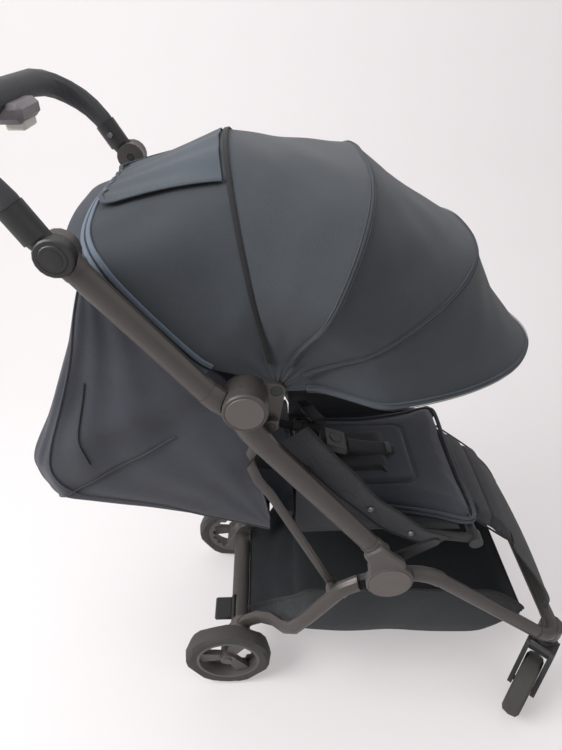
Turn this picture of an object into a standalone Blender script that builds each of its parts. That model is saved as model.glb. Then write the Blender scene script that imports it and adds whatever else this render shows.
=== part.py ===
"""Compact folding stroller with a reclining seat, a sun canopy and a basket. Sizes are in metres."""

import math

import bmesh
import bpy
from mathutils import Matrix, Vector

# Clearances
GAP = 0.0003
RUNNING_GAP = 0.0006
SLEEVE_GAP = 0.0013

# Pivots, as (x, z), measured from the rear axle and the floor
FOLD_PIVOT = (0.057, 0.730)
STRUT_TOP = (0.088, 0.685)
STRUT_FOOT = (0.184, 0.334)
CANOPY_PIVOT = (0.095, 0.735)
CALF_PIVOT = (0.409, 0.423)
BACK_PIVOT = (0.118, 0.462)

# Side rails: one straight line on each side, with the fold pivot in front of it
RAIL_SLOPE = math.radians(-52.28)
RAIL_BEHIND_PIVOT = 0.0235
RAIL_WIDTH = 0.022
RAIL_HEIGHT = 0.031
RAIL_Y = 0.195
HANDLE_PIVOT_ALONG = -0.264
UPPER_TOP_SEAM = -0.2416
UPPER_LOW_SEAM = -0.039
LOWER_TOP_SEAM = 0.063
LOWER_LOW_SEAM = 0.3146
HUB_ALONG = 0.400
HUB_BEHIND_RAIL = 0.019

# Fold joint, from the inside out
FOLD_RING_R = 0.028
FOLD_DISC_R = 0.0275
FOLD_PIN_R = 0.0060
ARM_IN_Y = 0.1680
ARM_OUT_Y = 0.1755
STRUT_IN_Y = 0.1762
STRUT_OUT_Y = 0.1834
DISC_OUT_Y = 0.1952
RING_IN_Y = 0.1962
RING_OUT_Y = 0.2140
COVER_R = 0.0234
COVER_DEPTH = 0.0035

# Hub, where both legs turn on one pin
HUB_R = 0.037
HUB_CAP_R = 0.033
LEG_DISC_R = 0.030
HUB_PIN_R = 0.0070
REAR_DISC_Y = (0.1755, 0.1860)
FRONT_DISC_Y = (0.1866, 0.1968)
HUB_DISC_Y = (0.1975, 0.2115)
HUB_CAP_OUT_Y = 0.2130

# Legs
LEG_WIDTH = 0.020
REAR_LEG_HEIGHT = 0.026
FRONT_LEG_HEIGHT = 0.025
REAR_LEG_ROUTE = [(0.199, 0.195, 0.353), (0.145, 0.195, 0.274), (0.122, 0.193, 0.242), (0.106, 0.178, 0.220),
                  (0.087, 0.152, 0.201), (0.062, 0.131, 0.176), (0.040, 0.122, 0.150), (0.028, 0.121, 0.1335)]
FRONT_LEG_SEAM = (0.347, 0.376)
FRONT_LEG_END = (0.555, 0.210)
CROSS_BAR = (0.589, 0.200)
CROSS_BAR_HALF = 0.150

# Rear axle and wheels
REAR_WHEEL_R = 0.0825
REAR_TYRE_WIDTH = 0.032
REAR_WHEEL_Y = 0.151
AXLE_BAR = (0.0215, 0.110)
AXLE_BAR_HALF = 0.107
AXLE_R = 0.0050
NOTCH_RING_R = 0.052
NOTCH_DEPTH = 0.006
NOTCHES = 16
BRAKE_PIN_R = 0.0026
BRAKE_TRAVEL = 0.005

# Castors
CASTOR_X = 0.5885
CASTOR_Y = 0.177
CASTOR_TRAIL = 0.045
CASTOR_TURN = math.radians(48)
FRONT_WHEEL_R = 0.0625
FRONT_TYRE_WIDTH = 0.032
FORK_LEG = 0.008
CUP_R = 0.0200
CUP_BOTTOM = 0.178
STEM_R = 0.0060

# Handle
SLEEVE_WIDTH = 0.0305
GRIP_THIN = 0.028
GRIP_THICK = 0.034
HANDLE_TUBE = 0.020
HANDLE_DISC_R = 0.0205
HANDLE_PIN_R = 0.0045
RAIL_DISC_Y = (0.1795, 0.1944)
ARM_DISC_Y = (0.1950, 0.2105)
PIVOT_BUTTON_R = 0.0146
BUTTON_TRAVEL = 0.003
SLEEVE_SEAM = (-0.140, 0.195, 0.941)
SLEEVE_END = (-0.158, 0.195, 0.972)
GRIP_ROUTE = [SLEEVE_END, (-0.160, 0.195, 0.97544), (-0.174, 0.195, 0.992), (-0.187, 0.1925, 1.004),
              (-0.201, 0.1850, 1.0150), (-0.2130, 0.1705, 1.0245), (-0.2205, 0.148, 1.0315),
              (-0.2230, 0.110, 1.0365), (-0.2210, 0.0, 1.0390)]
RELEASE_SIZE = (0.036, 0.068, 0.022)
RELEASE_CENTRE = (-0.207, 0.0, 1.0225)
RELEASE_BUTTON_SIZE = (0.024, 0.040, 0.012)
RELEASE_POCKET = 0.007
RELEASE_TRAVEL = 0.003

# Canopy: four hoops that fan out from one pivot, as turn, reach, half width and roundness
HOOPS = {
    "canopy_bow_1": (102.4, 0.266, 0.188, 0.97),
    "canopy_bow_2": (64.5, 0.257, 0.222, 0.65),
    "canopy_bow_3": (28.7, 0.293, 0.200, 0.76),
    "canopy_front_bow": (-2.6, 0.371, 0.216, 1.00),
}
CANOPY_COLUMNS = 12
REAR_EDGE = [(0.045, 0.170, 0.768), (-0.010, 0.179, 0.813), (-0.062, 0.179, 0.862), (-0.088, 0.176, 0.890),
             (-0.0925, 0.145, 0.908), (-0.0930, 0.085, 0.933), (-0.0910, 0.0, 0.943)]
HOOP_WIRE = 0.005
HOOP_TAB_LENGTH = 0.052
HOOP_TAB_THICK = 0.002
HOOP_TAB_Y = {
    "canopy_front_bow": 0.1665,
    "canopy_bow_3": 0.1640,
    "canopy_bow_2": 0.1615,
    "canopy_bow_1": 0.1590,
}
CANOPY_CLOTH = 0.0012
KNOB_R = 0.008
KNOB_SHAFT_R = 0.0033

# Seat
SEAT_TUBE = 0.016
SEAT_TUBE_Y = 0.157
SEAT_TUBE_ROUTE = [(0.118, 0.612), (0.282, 0.4615), (0.302, 0.4465), (0.328, 0.4380), CALF_PIVOT]
SEAT_BASE_Z = 0.4330
SEAT_BACK_X = 0.128
SEAT_FRONT_X = 0.392
SLING_THICK = 0.0025
CUSHION_HALF = 0.136
CHANNEL_HALF = 0.012
CHANNEL_DEPTH = 0.008
CUSHION_HEIGHT = 0.031
STRAP_Z = 0.4637
CALF_TILT = math.radians(-38)
CALF_LENGTH = 0.118
CALF_HALF = 0.125
CALF_THICK = 0.018
BACK_LENGTH = 0.335
BACK_HALF = 0.140
BACK_ROLL_R = 0.0115
BACK_THICK = 0.024
BACK_TILT = math.radians(166)
PANEL_CLOTH = 0.002

# Rear fabric bag behind the seat, and the basket
SACK_HALF = 0.1662
SACK_BACK = [(-0.112, 0.902), (-0.134, 0.850), (-0.160, 0.780), (-0.200, 0.690), (-0.238, 0.612),
             (-0.244, 0.575), (-0.230, 0.538), (-0.195, 0.521), (-0.080, 0.499), (0.000, 0.482),
             (0.084, 0.462)]
SACK_RIM = [(-0.098, 0.884), (-0.080, 0.864), (-0.054, 0.836), (-0.022, 0.800), (0.010, 0.767),
            (0.034, 0.742), (0.041, 0.714), (0.048, 0.684), (0.058, 0.640), (0.070, 0.575), (0.084, 0.490)]
BASKET_HALF = 0.163
BASKET_CLOTH = 0.002

# The part's own origin stands midway between its rearmost and foremost points
MIDDLE_X = 0.1855


def unit(angle):
    return math.cos(angle), math.sin(angle)


def rail(along, off=0.0):
    """The (x, z) of a point at a distance down the rail from the fold pivot and a distance in front of it."""
    run, rise = unit(RAIL_SLOPE)
    off -= RAIL_BEHIND_PIVOT
    return FOLD_PIVOT[0] + along * run - off * rise, FOLD_PIVOT[1] + along * rise + off * run


HANDLE_PIVOT = rail(HANDLE_PIVOT_ALONG)
HUB = rail(HUB_ALONG, -HUB_BEHIND_RAIL)
REAR_AXLE = (0.0, REAR_WHEEL_R)

# Each body's parent and the (x, y, z) of its joint
BODIES = {
    "chassis": (None, (0.0, 0.0, 0.0)),
    "handle_frame": ("chassis", (FOLD_PIVOT[0], 0.0, FOLD_PIVOT[1])),
    "front_frame": ("chassis", (HUB[0], 0.0, HUB[1])),
    "rear_frame": ("chassis", (HUB[0], 0.0, HUB[1])),
    "backrest": ("chassis", (BACK_PIVOT[0], 0.0, BACK_PIVOT[1])),
    "calf_rest": ("chassis", (CALF_PIVOT[0], 0.0, CALF_PIVOT[1])),
    "buckle_button": ("chassis", (0.0, 0.0, 0.0)),
    "handle": ("handle_frame", (HANDLE_PIVOT[0], 0.0, HANDLE_PIVOT[1])),
    "release_button": ("handle", RELEASE_CENTRE),
    "canopy_bow_1": ("handle_frame", (CANOPY_PIVOT[0], 0.0, CANOPY_PIVOT[1])),
    "canopy_bow_2": ("canopy_bow_1", (CANOPY_PIVOT[0], 0.0, CANOPY_PIVOT[1])),
    "canopy_bow_3": ("canopy_bow_2", (CANOPY_PIVOT[0], 0.0, CANOPY_PIVOT[1])),
    "canopy_front_bow": ("canopy_bow_3", (CANOPY_PIVOT[0], 0.0, CANOPY_PIVOT[1])),
    "brake_pedal": ("rear_frame", (AXLE_BAR[0], 0.0, AXLE_BAR[1])),
}
for word, hand in (("right", -1), ("left", 1)):
    BODIES[f"strut_{word}"] = ("handle_frame", (STRUT_TOP[0], hand * STRUT_IN_Y, STRUT_TOP[1]))
    BODIES[f"pivot_button_{word}"] = ("handle", (HANDLE_PIVOT[0], hand * ARM_DISC_Y[1], HANDLE_PIVOT[1]))
    BODIES[f"rear_wheel_{word}"] = ("rear_frame", (0.0, hand * REAR_WHEEL_Y, REAR_WHEEL_R))
    BODIES[f"brake_pin_{word}"] = ("rear_frame", (0.0, hand * REAR_WHEEL_Y, REAR_WHEEL_R))
    BODIES[f"castor_{word}"] = ("front_frame", (CASTOR_X, hand * CASTOR_Y, CUP_BOTTOM))
    BODIES[f"front_wheel_{word}"] = (
        f"castor_{word}",
        (
            CASTOR_X - CASTOR_TRAIL * math.cos(CASTOR_TURN),
            hand * (CASTOR_Y + CASTOR_TRAIL * math.sin(CASTOR_TURN)),
            FRONT_WHEEL_R,
        ),
    )

# Finishes as sRGB colour, roughness and metallic
FINISHES = {
    "frame": ((84, 78, 76), 0.42, 0.35),
    "moulding": ((78, 73, 71), 0.50, 0.0),
    "cap": ((92, 85, 83), 0.45, 0.0),
    "black_plastic": ((48, 48, 49), 0.45, 0.0),
    "grip": ((66, 66, 69), 0.80, 0.0),
    "housing": ((104, 100, 103), 0.50, 0.0),
    "button": ((200, 198, 190), 0.40, 0.0),
    "tyre": ((72, 71, 68), 0.85, 0.0),
    "rim": ((82, 77, 77), 0.50, 0.0),
    "bow": ((60, 66, 72), 0.60, 0.2),
    "canopy": ((45, 52, 57), 0.90, 0.0),
    "seat": ((72, 79, 94), 0.90, 0.0),
    "seat_dark": ((60, 61, 64), 0.90, 0.0),
    "sack": ((55, 60, 70), 0.90, 0.0),
    "mesh": ((52, 55, 54), 0.90, 0.0),
    "basket": ((42, 46, 48), 0.90, 0.0),
    "webbing": ((38, 38, 40), 0.85, 0.0),
}


def linear(value):
    value /= 255
    return value / 12.92 if value <= 0.04045 else ((value + 0.055) / 1.055) ** 2.4


def material(name, finish):
    """The sub-part's own Principled material."""
    if name in bpy.data.materials:
        return bpy.data.materials[name]
    colour, roughness, metallic = FINISHES[finish]
    made = bpy.data.materials.new(name)
    made.use_nodes = True
    shader = made.node_tree.nodes["Principled BSDF"]
    shader.inputs["Base Color"].default_value = (*[linear(channel) for channel in colour], 1.0)
    shader.inputs["Roughness"].default_value = roughness
    shader.inputs["Metallic"].default_value = metallic
    made.diffuse_color = shader.inputs["Base Color"].default_value
    return made


def clear_scene():
    for obj in list(bpy.data.objects):
        bpy.data.objects.remove(obj, do_unlink=True)


def new_collection(name):
    made = bpy.data.collections.new(name)
    bpy.context.scene.collection.children.link(made)
    return made


clear_scene()
PARTS = new_collection("stroller")
CUTTERS = new_collection("cutters")
CUTTERS.hide_render = True
EMPTIES = {}


def make_bodies():
    """One empty for each body, on its joint's axis, under a root that sets the part's origin."""
    root = bpy.data.objects.new("stroller_root", None)
    PARTS.objects.link(root)
    root.location = (-MIDDLE_X, 0.0, 0.0)
    for name, (parent, joint) in BODIES.items():
        empty = bpy.data.objects.new(f"{name}_joint", None)
        empty.empty_display_size = 0.02
        PARTS.objects.link(empty)
        empty.parent = EMPTIES[parent] if parent else root
        start = Vector(BODIES[parent][1]) if parent else Vector()
        empty.location = Vector(joint) - start
        EMPTIES[name] = empty


def helper(name, data):
    """An object under construction. It renders nothing until it is finished."""
    obj = bpy.data.objects.new(name, data)
    CUTTERS.objects.link(obj)
    obj.hide_render = True
    obj.display_type = "WIRE"
    return obj


def weld(mesh, flatten=False):
    """Closes the mesh and turns its faces out. Flattening merges faces that lie in one plane."""
    shape = bmesh.new()
    shape.from_mesh(mesh)
    bmesh.ops.remove_doubles(shape, verts=shape.verts, dist=4e-6)
    if flatten:
        limit = math.radians(0.4)
        bmesh.ops.dissolve_limit(shape, angle_limit=limit, verts=shape.verts, edges=shape.edges)
        bmesh.ops.dissolve_degenerate(shape, dist=4e-6, edges=shape.edges)
    bmesh.ops.recalc_face_normals(shape, faces=shape.faces)
    shape.to_mesh(mesh)
    shape.free()


def settle(obj, flatten=False):
    """The object's modifiers applied, or its curve made a welded mesh."""
    graph = bpy.context.evaluated_depsgraph_get()
    mesh = bpy.data.meshes.new_from_object(obj.evaluated_get(graph))
    mesh.transform(obj.matrix_world)
    weld(mesh, flatten)
    made = helper(obj.name, mesh)
    bpy.data.objects.remove(obj, do_unlink=True)
    return made


def combined(base, tools, operation):
    for tool in tools:
        modifier = base.modifiers.new(operation.lower(), "BOOLEAN")
        modifier.operation = operation
        modifier.solver = "EXACT"
        modifier.object = tool
    made = settle(base, flatten=True)
    for tool in tools:
        bpy.data.objects.remove(tool, do_unlink=True)
    return made


def join(base, *tools):
    return combined(base, tools, "UNION")


def cut(base, *tools):
    return combined(base, tools, "DIFFERENCE")


def soften(obj, width, segments=1, angle=40):
    """Rounds the edges that are sharper than the angle, in degrees."""
    bevel = obj.modifiers.new("soft edges", "BEVEL")
    bevel.width = width
    bevel.segments = segments
    bevel.limit_method = "ANGLE"
    bevel.angle_limit = math.radians(angle)
    return settle(obj)


def flat_outline(outlines, half_thickness=0.0):
    """A 2D curve of closed outlines. One inside another is a hole."""
    curve = bpy.data.curves.new("outline", "CURVE")
    curve.dimensions = "2D"
    curve.fill_mode = "BOTH"
    curve.extrude = half_thickness
    for outline in outlines:
        spline = curve.splines.new("POLY")
        spline.points.add(len(outline) - 1)
        for point, place in zip(spline.points, outline):
            point.co = (place[0], place[1], 0.0, 1.0)
        spline.use_cyclic_u = True
    return helper("outline", curve)


def slab(side, depths, *outlines):
    """A plate with (x, z) outlines between two distances from the centre plane, on one side of it."""
    obj = flat_outline(outlines, abs(depths[1] - depths[0]) / 2)
    middle = side * (depths[0] + depths[1]) / 2
    obj.matrix_world = Matrix.Translation((0.0, middle, 0.0)) @ Matrix.Rotation(math.pi / 2, 4, "X")
    bpy.context.view_layer.update()
    return settle(obj)


def circle(centre, radius, sides=20, start=0.0):
    turns = [start + math.tau * k / sides for k in range(sides)]
    return [(centre[0] + radius * math.cos(turn), centre[1] + radius * math.sin(turn)) for turn in turns]


def disc(side, depths, centre, radius, sides=20):
    return slab(side, depths, circle(centre, radius, sides))


def button_disc(side, depths, centre, radius, edge, sides=20):
    """A disc whose outer rim is chamfered."""
    low, high = depths
    profile = [(0.0, low), (radius, low), (radius, high - edge), (radius - edge, high), (0.0, high)]
    return turned(profile, (centre[0], 0.0, centre[1]), sides, side)


def wrapped(*circles, sides=14):
    """The outline of a band pulled round circles, each a centre and a radius."""
    points = sorted(point for centre, radius in circles for point in circle(centre, radius, sides))
    outline = []
    for sweep in (points, points[::-1]):
        half = []
        for point in sweep:
            while len(half) > 1 and turn_of(half[-2], half[-1], point) <= 0:
                half.pop()
            half.append(point)
        outline += half[:-1]
    return outline


def turn_of(first, second, third):
    """Positive where three points turn left."""
    return (second[0] - first[0]) * (third[1] - first[1]) - (second[1] - first[1]) * (third[0] - first[0])


def oval_tube(points, width, height=None, sides=10, scales=None):
    """A tube of oval section: width across the ground plane, height square to it."""
    height = height or width
    curve = bpy.data.curves.new("tube", "CURVE")
    curve.dimensions = "3D"
    curve.twist_mode = "Z_UP"
    spline = curve.splines.new("POLY")
    spline.points.add(len(points) - 1)
    for k, (point, place) in enumerate(zip(spline.points, points)):
        point.co = (*place, 1.0)
        point.radius = scales[k] if scales else 1.0
    section = [(x * width / 2, z * height / 2) for x, z in circle((0.0, 0.0), 1.0, sides, math.pi / sides)]
    guide = flat_outline([section])
    curve.bevel_mode = "OBJECT"
    curve.bevel_object = guide
    curve.use_fill_caps = True
    made = settle(helper("tube", curve))
    bpy.data.objects.remove(guide, do_unlink=True)
    return made


def rod(start, end, radius, sides=12):
    """A straight round bar."""
    shape = bmesh.new()
    start, end = Vector(start), Vector(end)
    axis = end - start
    place = Matrix.Translation((start + end) / 2) @ axis.to_track_quat("Z", "Y").to_matrix().to_4x4()
    bmesh.ops.create_cone(
        shape, cap_ends=True, segments=sides, radius1=radius, radius2=radius, depth=axis.length, matrix=place
    )
    mesh = bpy.data.meshes.new("rod")
    shape.to_mesh(mesh)
    shape.free()
    return helper("rod", mesh)


def block(centre, size, edge=0.0, segments=1):
    shape = bmesh.new()
    bmesh.ops.create_cube(shape, size=1.0, matrix=Matrix.Translation(centre) @ Matrix.Diagonal((*size, 1.0)))
    mesh = bpy.data.meshes.new("block")
    shape.to_mesh(mesh)
    shape.free()
    obj = helper("block", mesh)
    return soften(obj, edge, segments) if edge else obj


def turned(profile, centre, steps, side=1):
    """A closed (radius, out) profile turned about an axis along Y. Out points away from the centre plane."""
    mesh = bpy.data.meshes.new("profile")
    count = len(profile)
    ring = [(k, (k + 1) % count) for k in range(count)]
    edges = [pair for pair in ring if profile[pair[0]][0] + profile[pair[1]][0] > 0]
    mesh.from_pydata([(radius, 0.0, out) for radius, out in profile], edges, [])
    obj = helper("profile", mesh)
    screw = obj.modifiers.new("turn", "SCREW")
    screw.steps = steps
    screw.render_steps = steps
    screw.use_merge_vertices = True
    screw.merge_threshold = 0.0001
    obj.matrix_world = Matrix.Translation(centre) @ Matrix.Rotation(-side * math.pi / 2, 4, "X")
    bpy.context.view_layer.update()
    return settle(obj)


def sheet(rows, thickness, offset=0.0):
    """Cloth through a grid of points, with its thickness."""
    width = len(rows[0])
    points = [tuple(point) for row in rows for point in row]
    faces = [
        (r * width + c, r * width + c + 1, (r + 1) * width + c + 1, (r + 1) * width + c)
        for r in range(len(rows) - 1)
        for c in range(width - 1)
    ]
    mesh = bpy.data.meshes.new("sheet")
    mesh.from_pydata(points, [], faces)
    obj = helper("sheet", mesh)
    solid = obj.modifiers.new("cloth", "SOLIDIFY")
    solid.thickness = thickness
    solid.offset = offset
    solid.use_even_offset = True
    return settle(obj)


def padded(length, half_width, thickness, crown, channels, place, ends=0.5, columns=4):
    """A cushion from a coarse cage: crowned, with drawn-in sides and sewn channels across it."""
    marks = [0.0, 0.06, 0.94, 1.0]
    for mark in channels:
        marks += [mark - CHANNEL_HALF / length, mark, mark + CHANNEL_HALF / length]
    marks.sort()
    rows = len(marks)
    shape = bmesh.new()
    layers = []
    for level in (0, 1):
        layer = []
        for r in range(rows):
            along = marks[r]
            row = []
            for c in range(columns + 1):
                across = 2 * c / columns - 1
                edge = min(1.0, (1 - abs(across)) * 5, min(along, 1 - along) * 14)
                drawn = 1 - 0.05 * (1 - (2 * along - 1) ** 2) * abs(across)
                height = thickness / 2 + crown * (1 - across**2) * (1 - (2 * along - 1) ** 2)
                height *= 0.62 + 0.38 * edge
                if level and along in channels and abs(across) < 0.8:
                    height -= CHANNEL_DEPTH
                rise = height if level else -height * ends
                local = Vector((along * length, across * half_width * drawn, rise))
                row.append(shape.verts.new(place @ local))
            layer.append(row)
        layers.append(layer)
    low, high = layers
    for r in range(rows - 1):
        for c in range(columns):
            shape.faces.new((high[r][c], high[r + 1][c], high[r + 1][c + 1], high[r][c + 1]))
            shape.faces.new((low[r][c], low[r][c + 1], low[r + 1][c + 1], low[r + 1][c]))
        for c in (0, columns):
            shape.faces.new((low[r][c], low[r + 1][c], high[r + 1][c], high[r][c]))
    for c in range(columns):
        for r in (0, rows - 1):
            shape.faces.new((low[r][c], high[r][c], high[r][c + 1], low[r][c + 1]))
    bmesh.ops.recalc_face_normals(shape, faces=shape.faces)
    mesh = bpy.data.meshes.new("cushion")
    shape.to_mesh(mesh)
    shape.free()
    obj = helper("cushion", mesh)
    smooth = obj.modifiers.new("round", "SUBSURF")
    smooth.levels = 1
    smooth.render_levels = 1
    return settle(obj)


def finish(obj, name, body, look):
    """Names the piece, gives it its material and hands it to its body."""
    obj.name = name
    obj.data.name = name
    obj.hide_render = False
    obj.display_type = "TEXTURED"
    CUTTERS.objects.unlink(obj)
    PARTS.objects.link(obj)
    obj.data.transform(Matrix.Translation(-Vector(BODIES[body][1])))
    obj.parent = EMPTIES[body]
    obj.data.shade_smooth()
    obj.data.set_sharp_from_angle(angle=math.radians(35))
    obj.data.materials.clear()
    base = name.removesuffix("_right").removesuffix("_left")
    obj.data.materials.append(material(base, look))


def at(place, y):
    return place[0], y, place[1]


def middle_of(depths):
    return (depths[0] + depths[1]) / 2


def upper_rail(side, word):
    y = side * RAIL_Y
    far = 0.300
    tube = oval_tube([at(rail(UPPER_TOP_SEAM), y), at(rail(UPPER_LOW_SEAM), y)], RAIL_WIDTH, RAIL_HEIGHT, 12)
    route = [at(rail(UPPER_LOW_SEAM - 0.004), y), at(rail(-0.026, 0.002), y), at(rail(-0.008, 0.008), y)]
    casting = oval_tube(route, RAIL_WIDTH + 0.0015, RAIL_HEIGHT + 0.0015, 12, [1.0, 1.06, 1.14])
    casting = cut(casting, disc(side, (DISC_OUT_Y + GAP, far), FOLD_PIVOT, FOLD_RING_R + 0.0014, 18))
    fold_disc = disc(side, (ARM_IN_Y, DISC_OUT_Y), FOLD_PIVOT, FOLD_DISC_R, 18)
    arm_outline = wrapped((FOLD_PIVOT, 0.019), (STRUT_TOP, 0.0100), (CANOPY_PIVOT, 0.0108), sides=12)
    arm = slab(side, (ARM_IN_Y + 0.0004, ARM_OUT_Y), arm_outline)
    strut_pin = rod(at(STRUT_TOP, side * (ARM_OUT_Y - 0.003)), at(STRUT_TOP, side * STRUT_OUT_Y), 0.0042, 10)
    top_route = [at(rail(UPPER_TOP_SEAM + 0.004), y), at(rail(UPPER_TOP_SEAM - 0.010), y)]
    top = oval_tube(top_route, RAIL_WIDTH + 0.0015, RAIL_HEIGHT + 0.0015, 12, [1.0, 1.02])
    top = cut(top, disc(side, (RAIL_DISC_Y[1] + GAP, far), HANDLE_PIVOT, HANDLE_DISC_R + 0.0008, 18))
    top_disc = disc(side, RAIL_DISC_Y, HANDLE_PIVOT, HANDLE_DISC_R, 18)
    body = join(tube, casting, top, fold_disc, arm, strut_pin, top_disc)
    body = cut(
        body,
        disc(side, (0.150, DISC_OUT_Y + 0.010), FOLD_PIVOT, FOLD_PIN_R + 0.0008, 10),
        disc(side, (0.150, RAIL_DISC_Y[1] + 0.010), HANDLE_PIVOT, HANDLE_PIN_R + 0.0008, 10),
        disc(side, (0.150, 0.190), CANOPY_PIVOT, KNOB_SHAFT_R + 0.0005, 8),
        disc(side, (ARM_OUT_Y - 0.004, 0.190), CANOPY_PIVOT, KNOB_R + GAP, 14),
    )
    finish(body, f"upper_rail_{word}", "handle_frame", "frame")


def canopy_knob(side, word):
    head = disc(side, (ARM_OUT_Y - 0.0037, ARM_OUT_Y - GAP), CANOPY_PIVOT, KNOB_R, 14)
    inner = disc(side, (0.1545, 0.1575), CANOPY_PIVOT, 0.0070, 10)
    shaft = disc(side, (0.1560, ARM_OUT_Y - 0.002), CANOPY_PIVOT, KNOB_SHAFT_R, 8)
    finish(join(head, shaft, inner), f"canopy_knob_{word}", "handle_frame", "black_plastic")


def lower_rail(side, word):
    y = side * RAIL_Y
    ends = [at(rail(LOWER_TOP_SEAM), y), at(rail(LOWER_LOW_SEAM - GAP), y)]
    tube = oval_tube(ends, RAIL_WIDTH, RAIL_HEIGHT, 12)
    route = [at(rail(LOWER_TOP_SEAM + 0.004), y), at(rail(0.036, 0.002), y), at(rail(0.009, 0.010), y)]
    casting = oval_tube(route, RAIL_WIDTH + 0.0015, RAIL_HEIGHT + 0.0015, 12, [1.0, 1.06, 1.16])
    around = [(FOLD_PIVOT[0] + x, FOLD_PIVOT[1] + z) for x, z in circle((0.0, 0.0), 0.11, 4, math.pi / 4)]
    casting = cut(
        casting,
        disc(side, (0.150, RING_IN_Y - GAP), FOLD_PIVOT, FOLD_RING_R + 0.0014, 18),
        slab(side, (0.150, STRUT_OUT_Y + RUNNING_GAP), around),
    )
    ring = button_disc(side, (RING_IN_Y, RING_OUT_Y), FOLD_PIVOT, FOLD_RING_R, 0.0018, 20)
    ring = cut(ring, disc(side, (RING_OUT_Y - COVER_DEPTH, 0.230), FOLD_PIVOT, COVER_R + GAP, 20))
    pin = disc(side, (ARM_IN_Y + 0.002, RING_IN_Y + 0.004), FOLD_PIVOT, FOLD_PIN_R, 10)
    finish(join(tube, casting, ring, pin), f"lower_rail_{word}", "chassis", "frame")


def hinge_cover(side, word):
    depths = (RING_OUT_Y - COVER_DEPTH + GAP, RING_OUT_Y + 0.0008)
    cover = button_disc(side, depths, FOLD_PIVOT, COVER_R, 0.0008)
    finish(cover, f"hinge_cover_{word}", "chassis", "cap")


def hub(side, word):
    y = side * RAIL_Y
    neck_route = [at(rail(LOWER_LOW_SEAM), y), at(rail(0.3300), y), at(rail(0.3440, 0.001), y)]
    neck = oval_tube(neck_route, RAIL_WIDTH + 0.002, RAIL_HEIGHT + 0.002, 12, [1.0, 1.03, 1.08])
    web_outline = [rail(0.322, 0.0162), rail(0.350, 0.0185), rail(0.378, 0.0230), rail(0.400, 0.010),
                   rail(0.400, -0.050), rail(0.380, -0.0500), rail(0.362, -0.0330), rail(0.340, -0.0200),
                   rail(0.322, -0.0165)]
    web = soften(slab(side, (HUB_DISC_Y[0] + 0.0004, HUB_DISC_Y[1] - 0.0015), web_outline), 0.0030)
    plate = button_disc(side, HUB_DISC_Y, HUB, HUB_R, 0.0022, 20)
    pin = disc(side, (ARM_IN_Y, HUB_DISC_Y[0] + 0.004), HUB, HUB_PIN_R, 10)
    body = join(plate, web, neck, pin)
    body = cut(body, disc(side, (HUB_CAP_OUT_Y - 0.004, 0.230), HUB, HUB_CAP_R + GAP, 20))
    finish(body, f"hub_{word}", "chassis", "moulding")


def hub_cap(side, word):
    cap = button_disc(side, (HUB_CAP_OUT_Y - 0.004 + GAP, HUB_CAP_OUT_Y), HUB, HUB_CAP_R, 0.0008, 20)
    finish(cap, f"hub_cap_{word}", "chassis", "cap")


def rear_leg(side, word):
    y = side * RAIL_Y
    seam = REAR_LEG_ROUTE[0]
    horn_route = [(HUB[0] - 0.020, y, HUB[1] - 0.009), (HUB[0] - 0.046, y, HUB[1] - 0.020),
                  (seam[0], y, seam[2]), (seam[0] - 0.006, y, seam[2] - 0.009)]
    horn = oval_tube(horn_route, LEG_WIDTH + 0.003, REAR_LEG_HEIGHT + 0.003)
    leg = oval_tube([(x, side * out, z) for x, out, z in REAR_LEG_ROUTE], LEG_WIDTH, REAR_LEG_HEIGHT)
    horn = cut(
        horn,
        disc(side, (REAR_DISC_Y[1] + GAP, 0.300), HUB, 0.050, 18),
        disc(side, (0.150, REAR_DISC_Y[0] + 0.0004), HUB, 0.048, 18),
    )
    plate = disc(side, REAR_DISC_Y, HUB, LEG_DISC_R, 18)
    ear = disc(side, (STRUT_IN_Y + 0.0004, RAIL_Y - 0.004), STRUT_FOOT, 0.0100, 14)
    body = join(horn, leg, plate, ear)
    body = cut(body, disc(side, (0.150, REAR_DISC_Y[1] + 0.004), HUB, HUB_PIN_R + 0.0008, 10))
    finish(body, f"rear_leg_{word}", "rear_frame", "frame")


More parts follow.
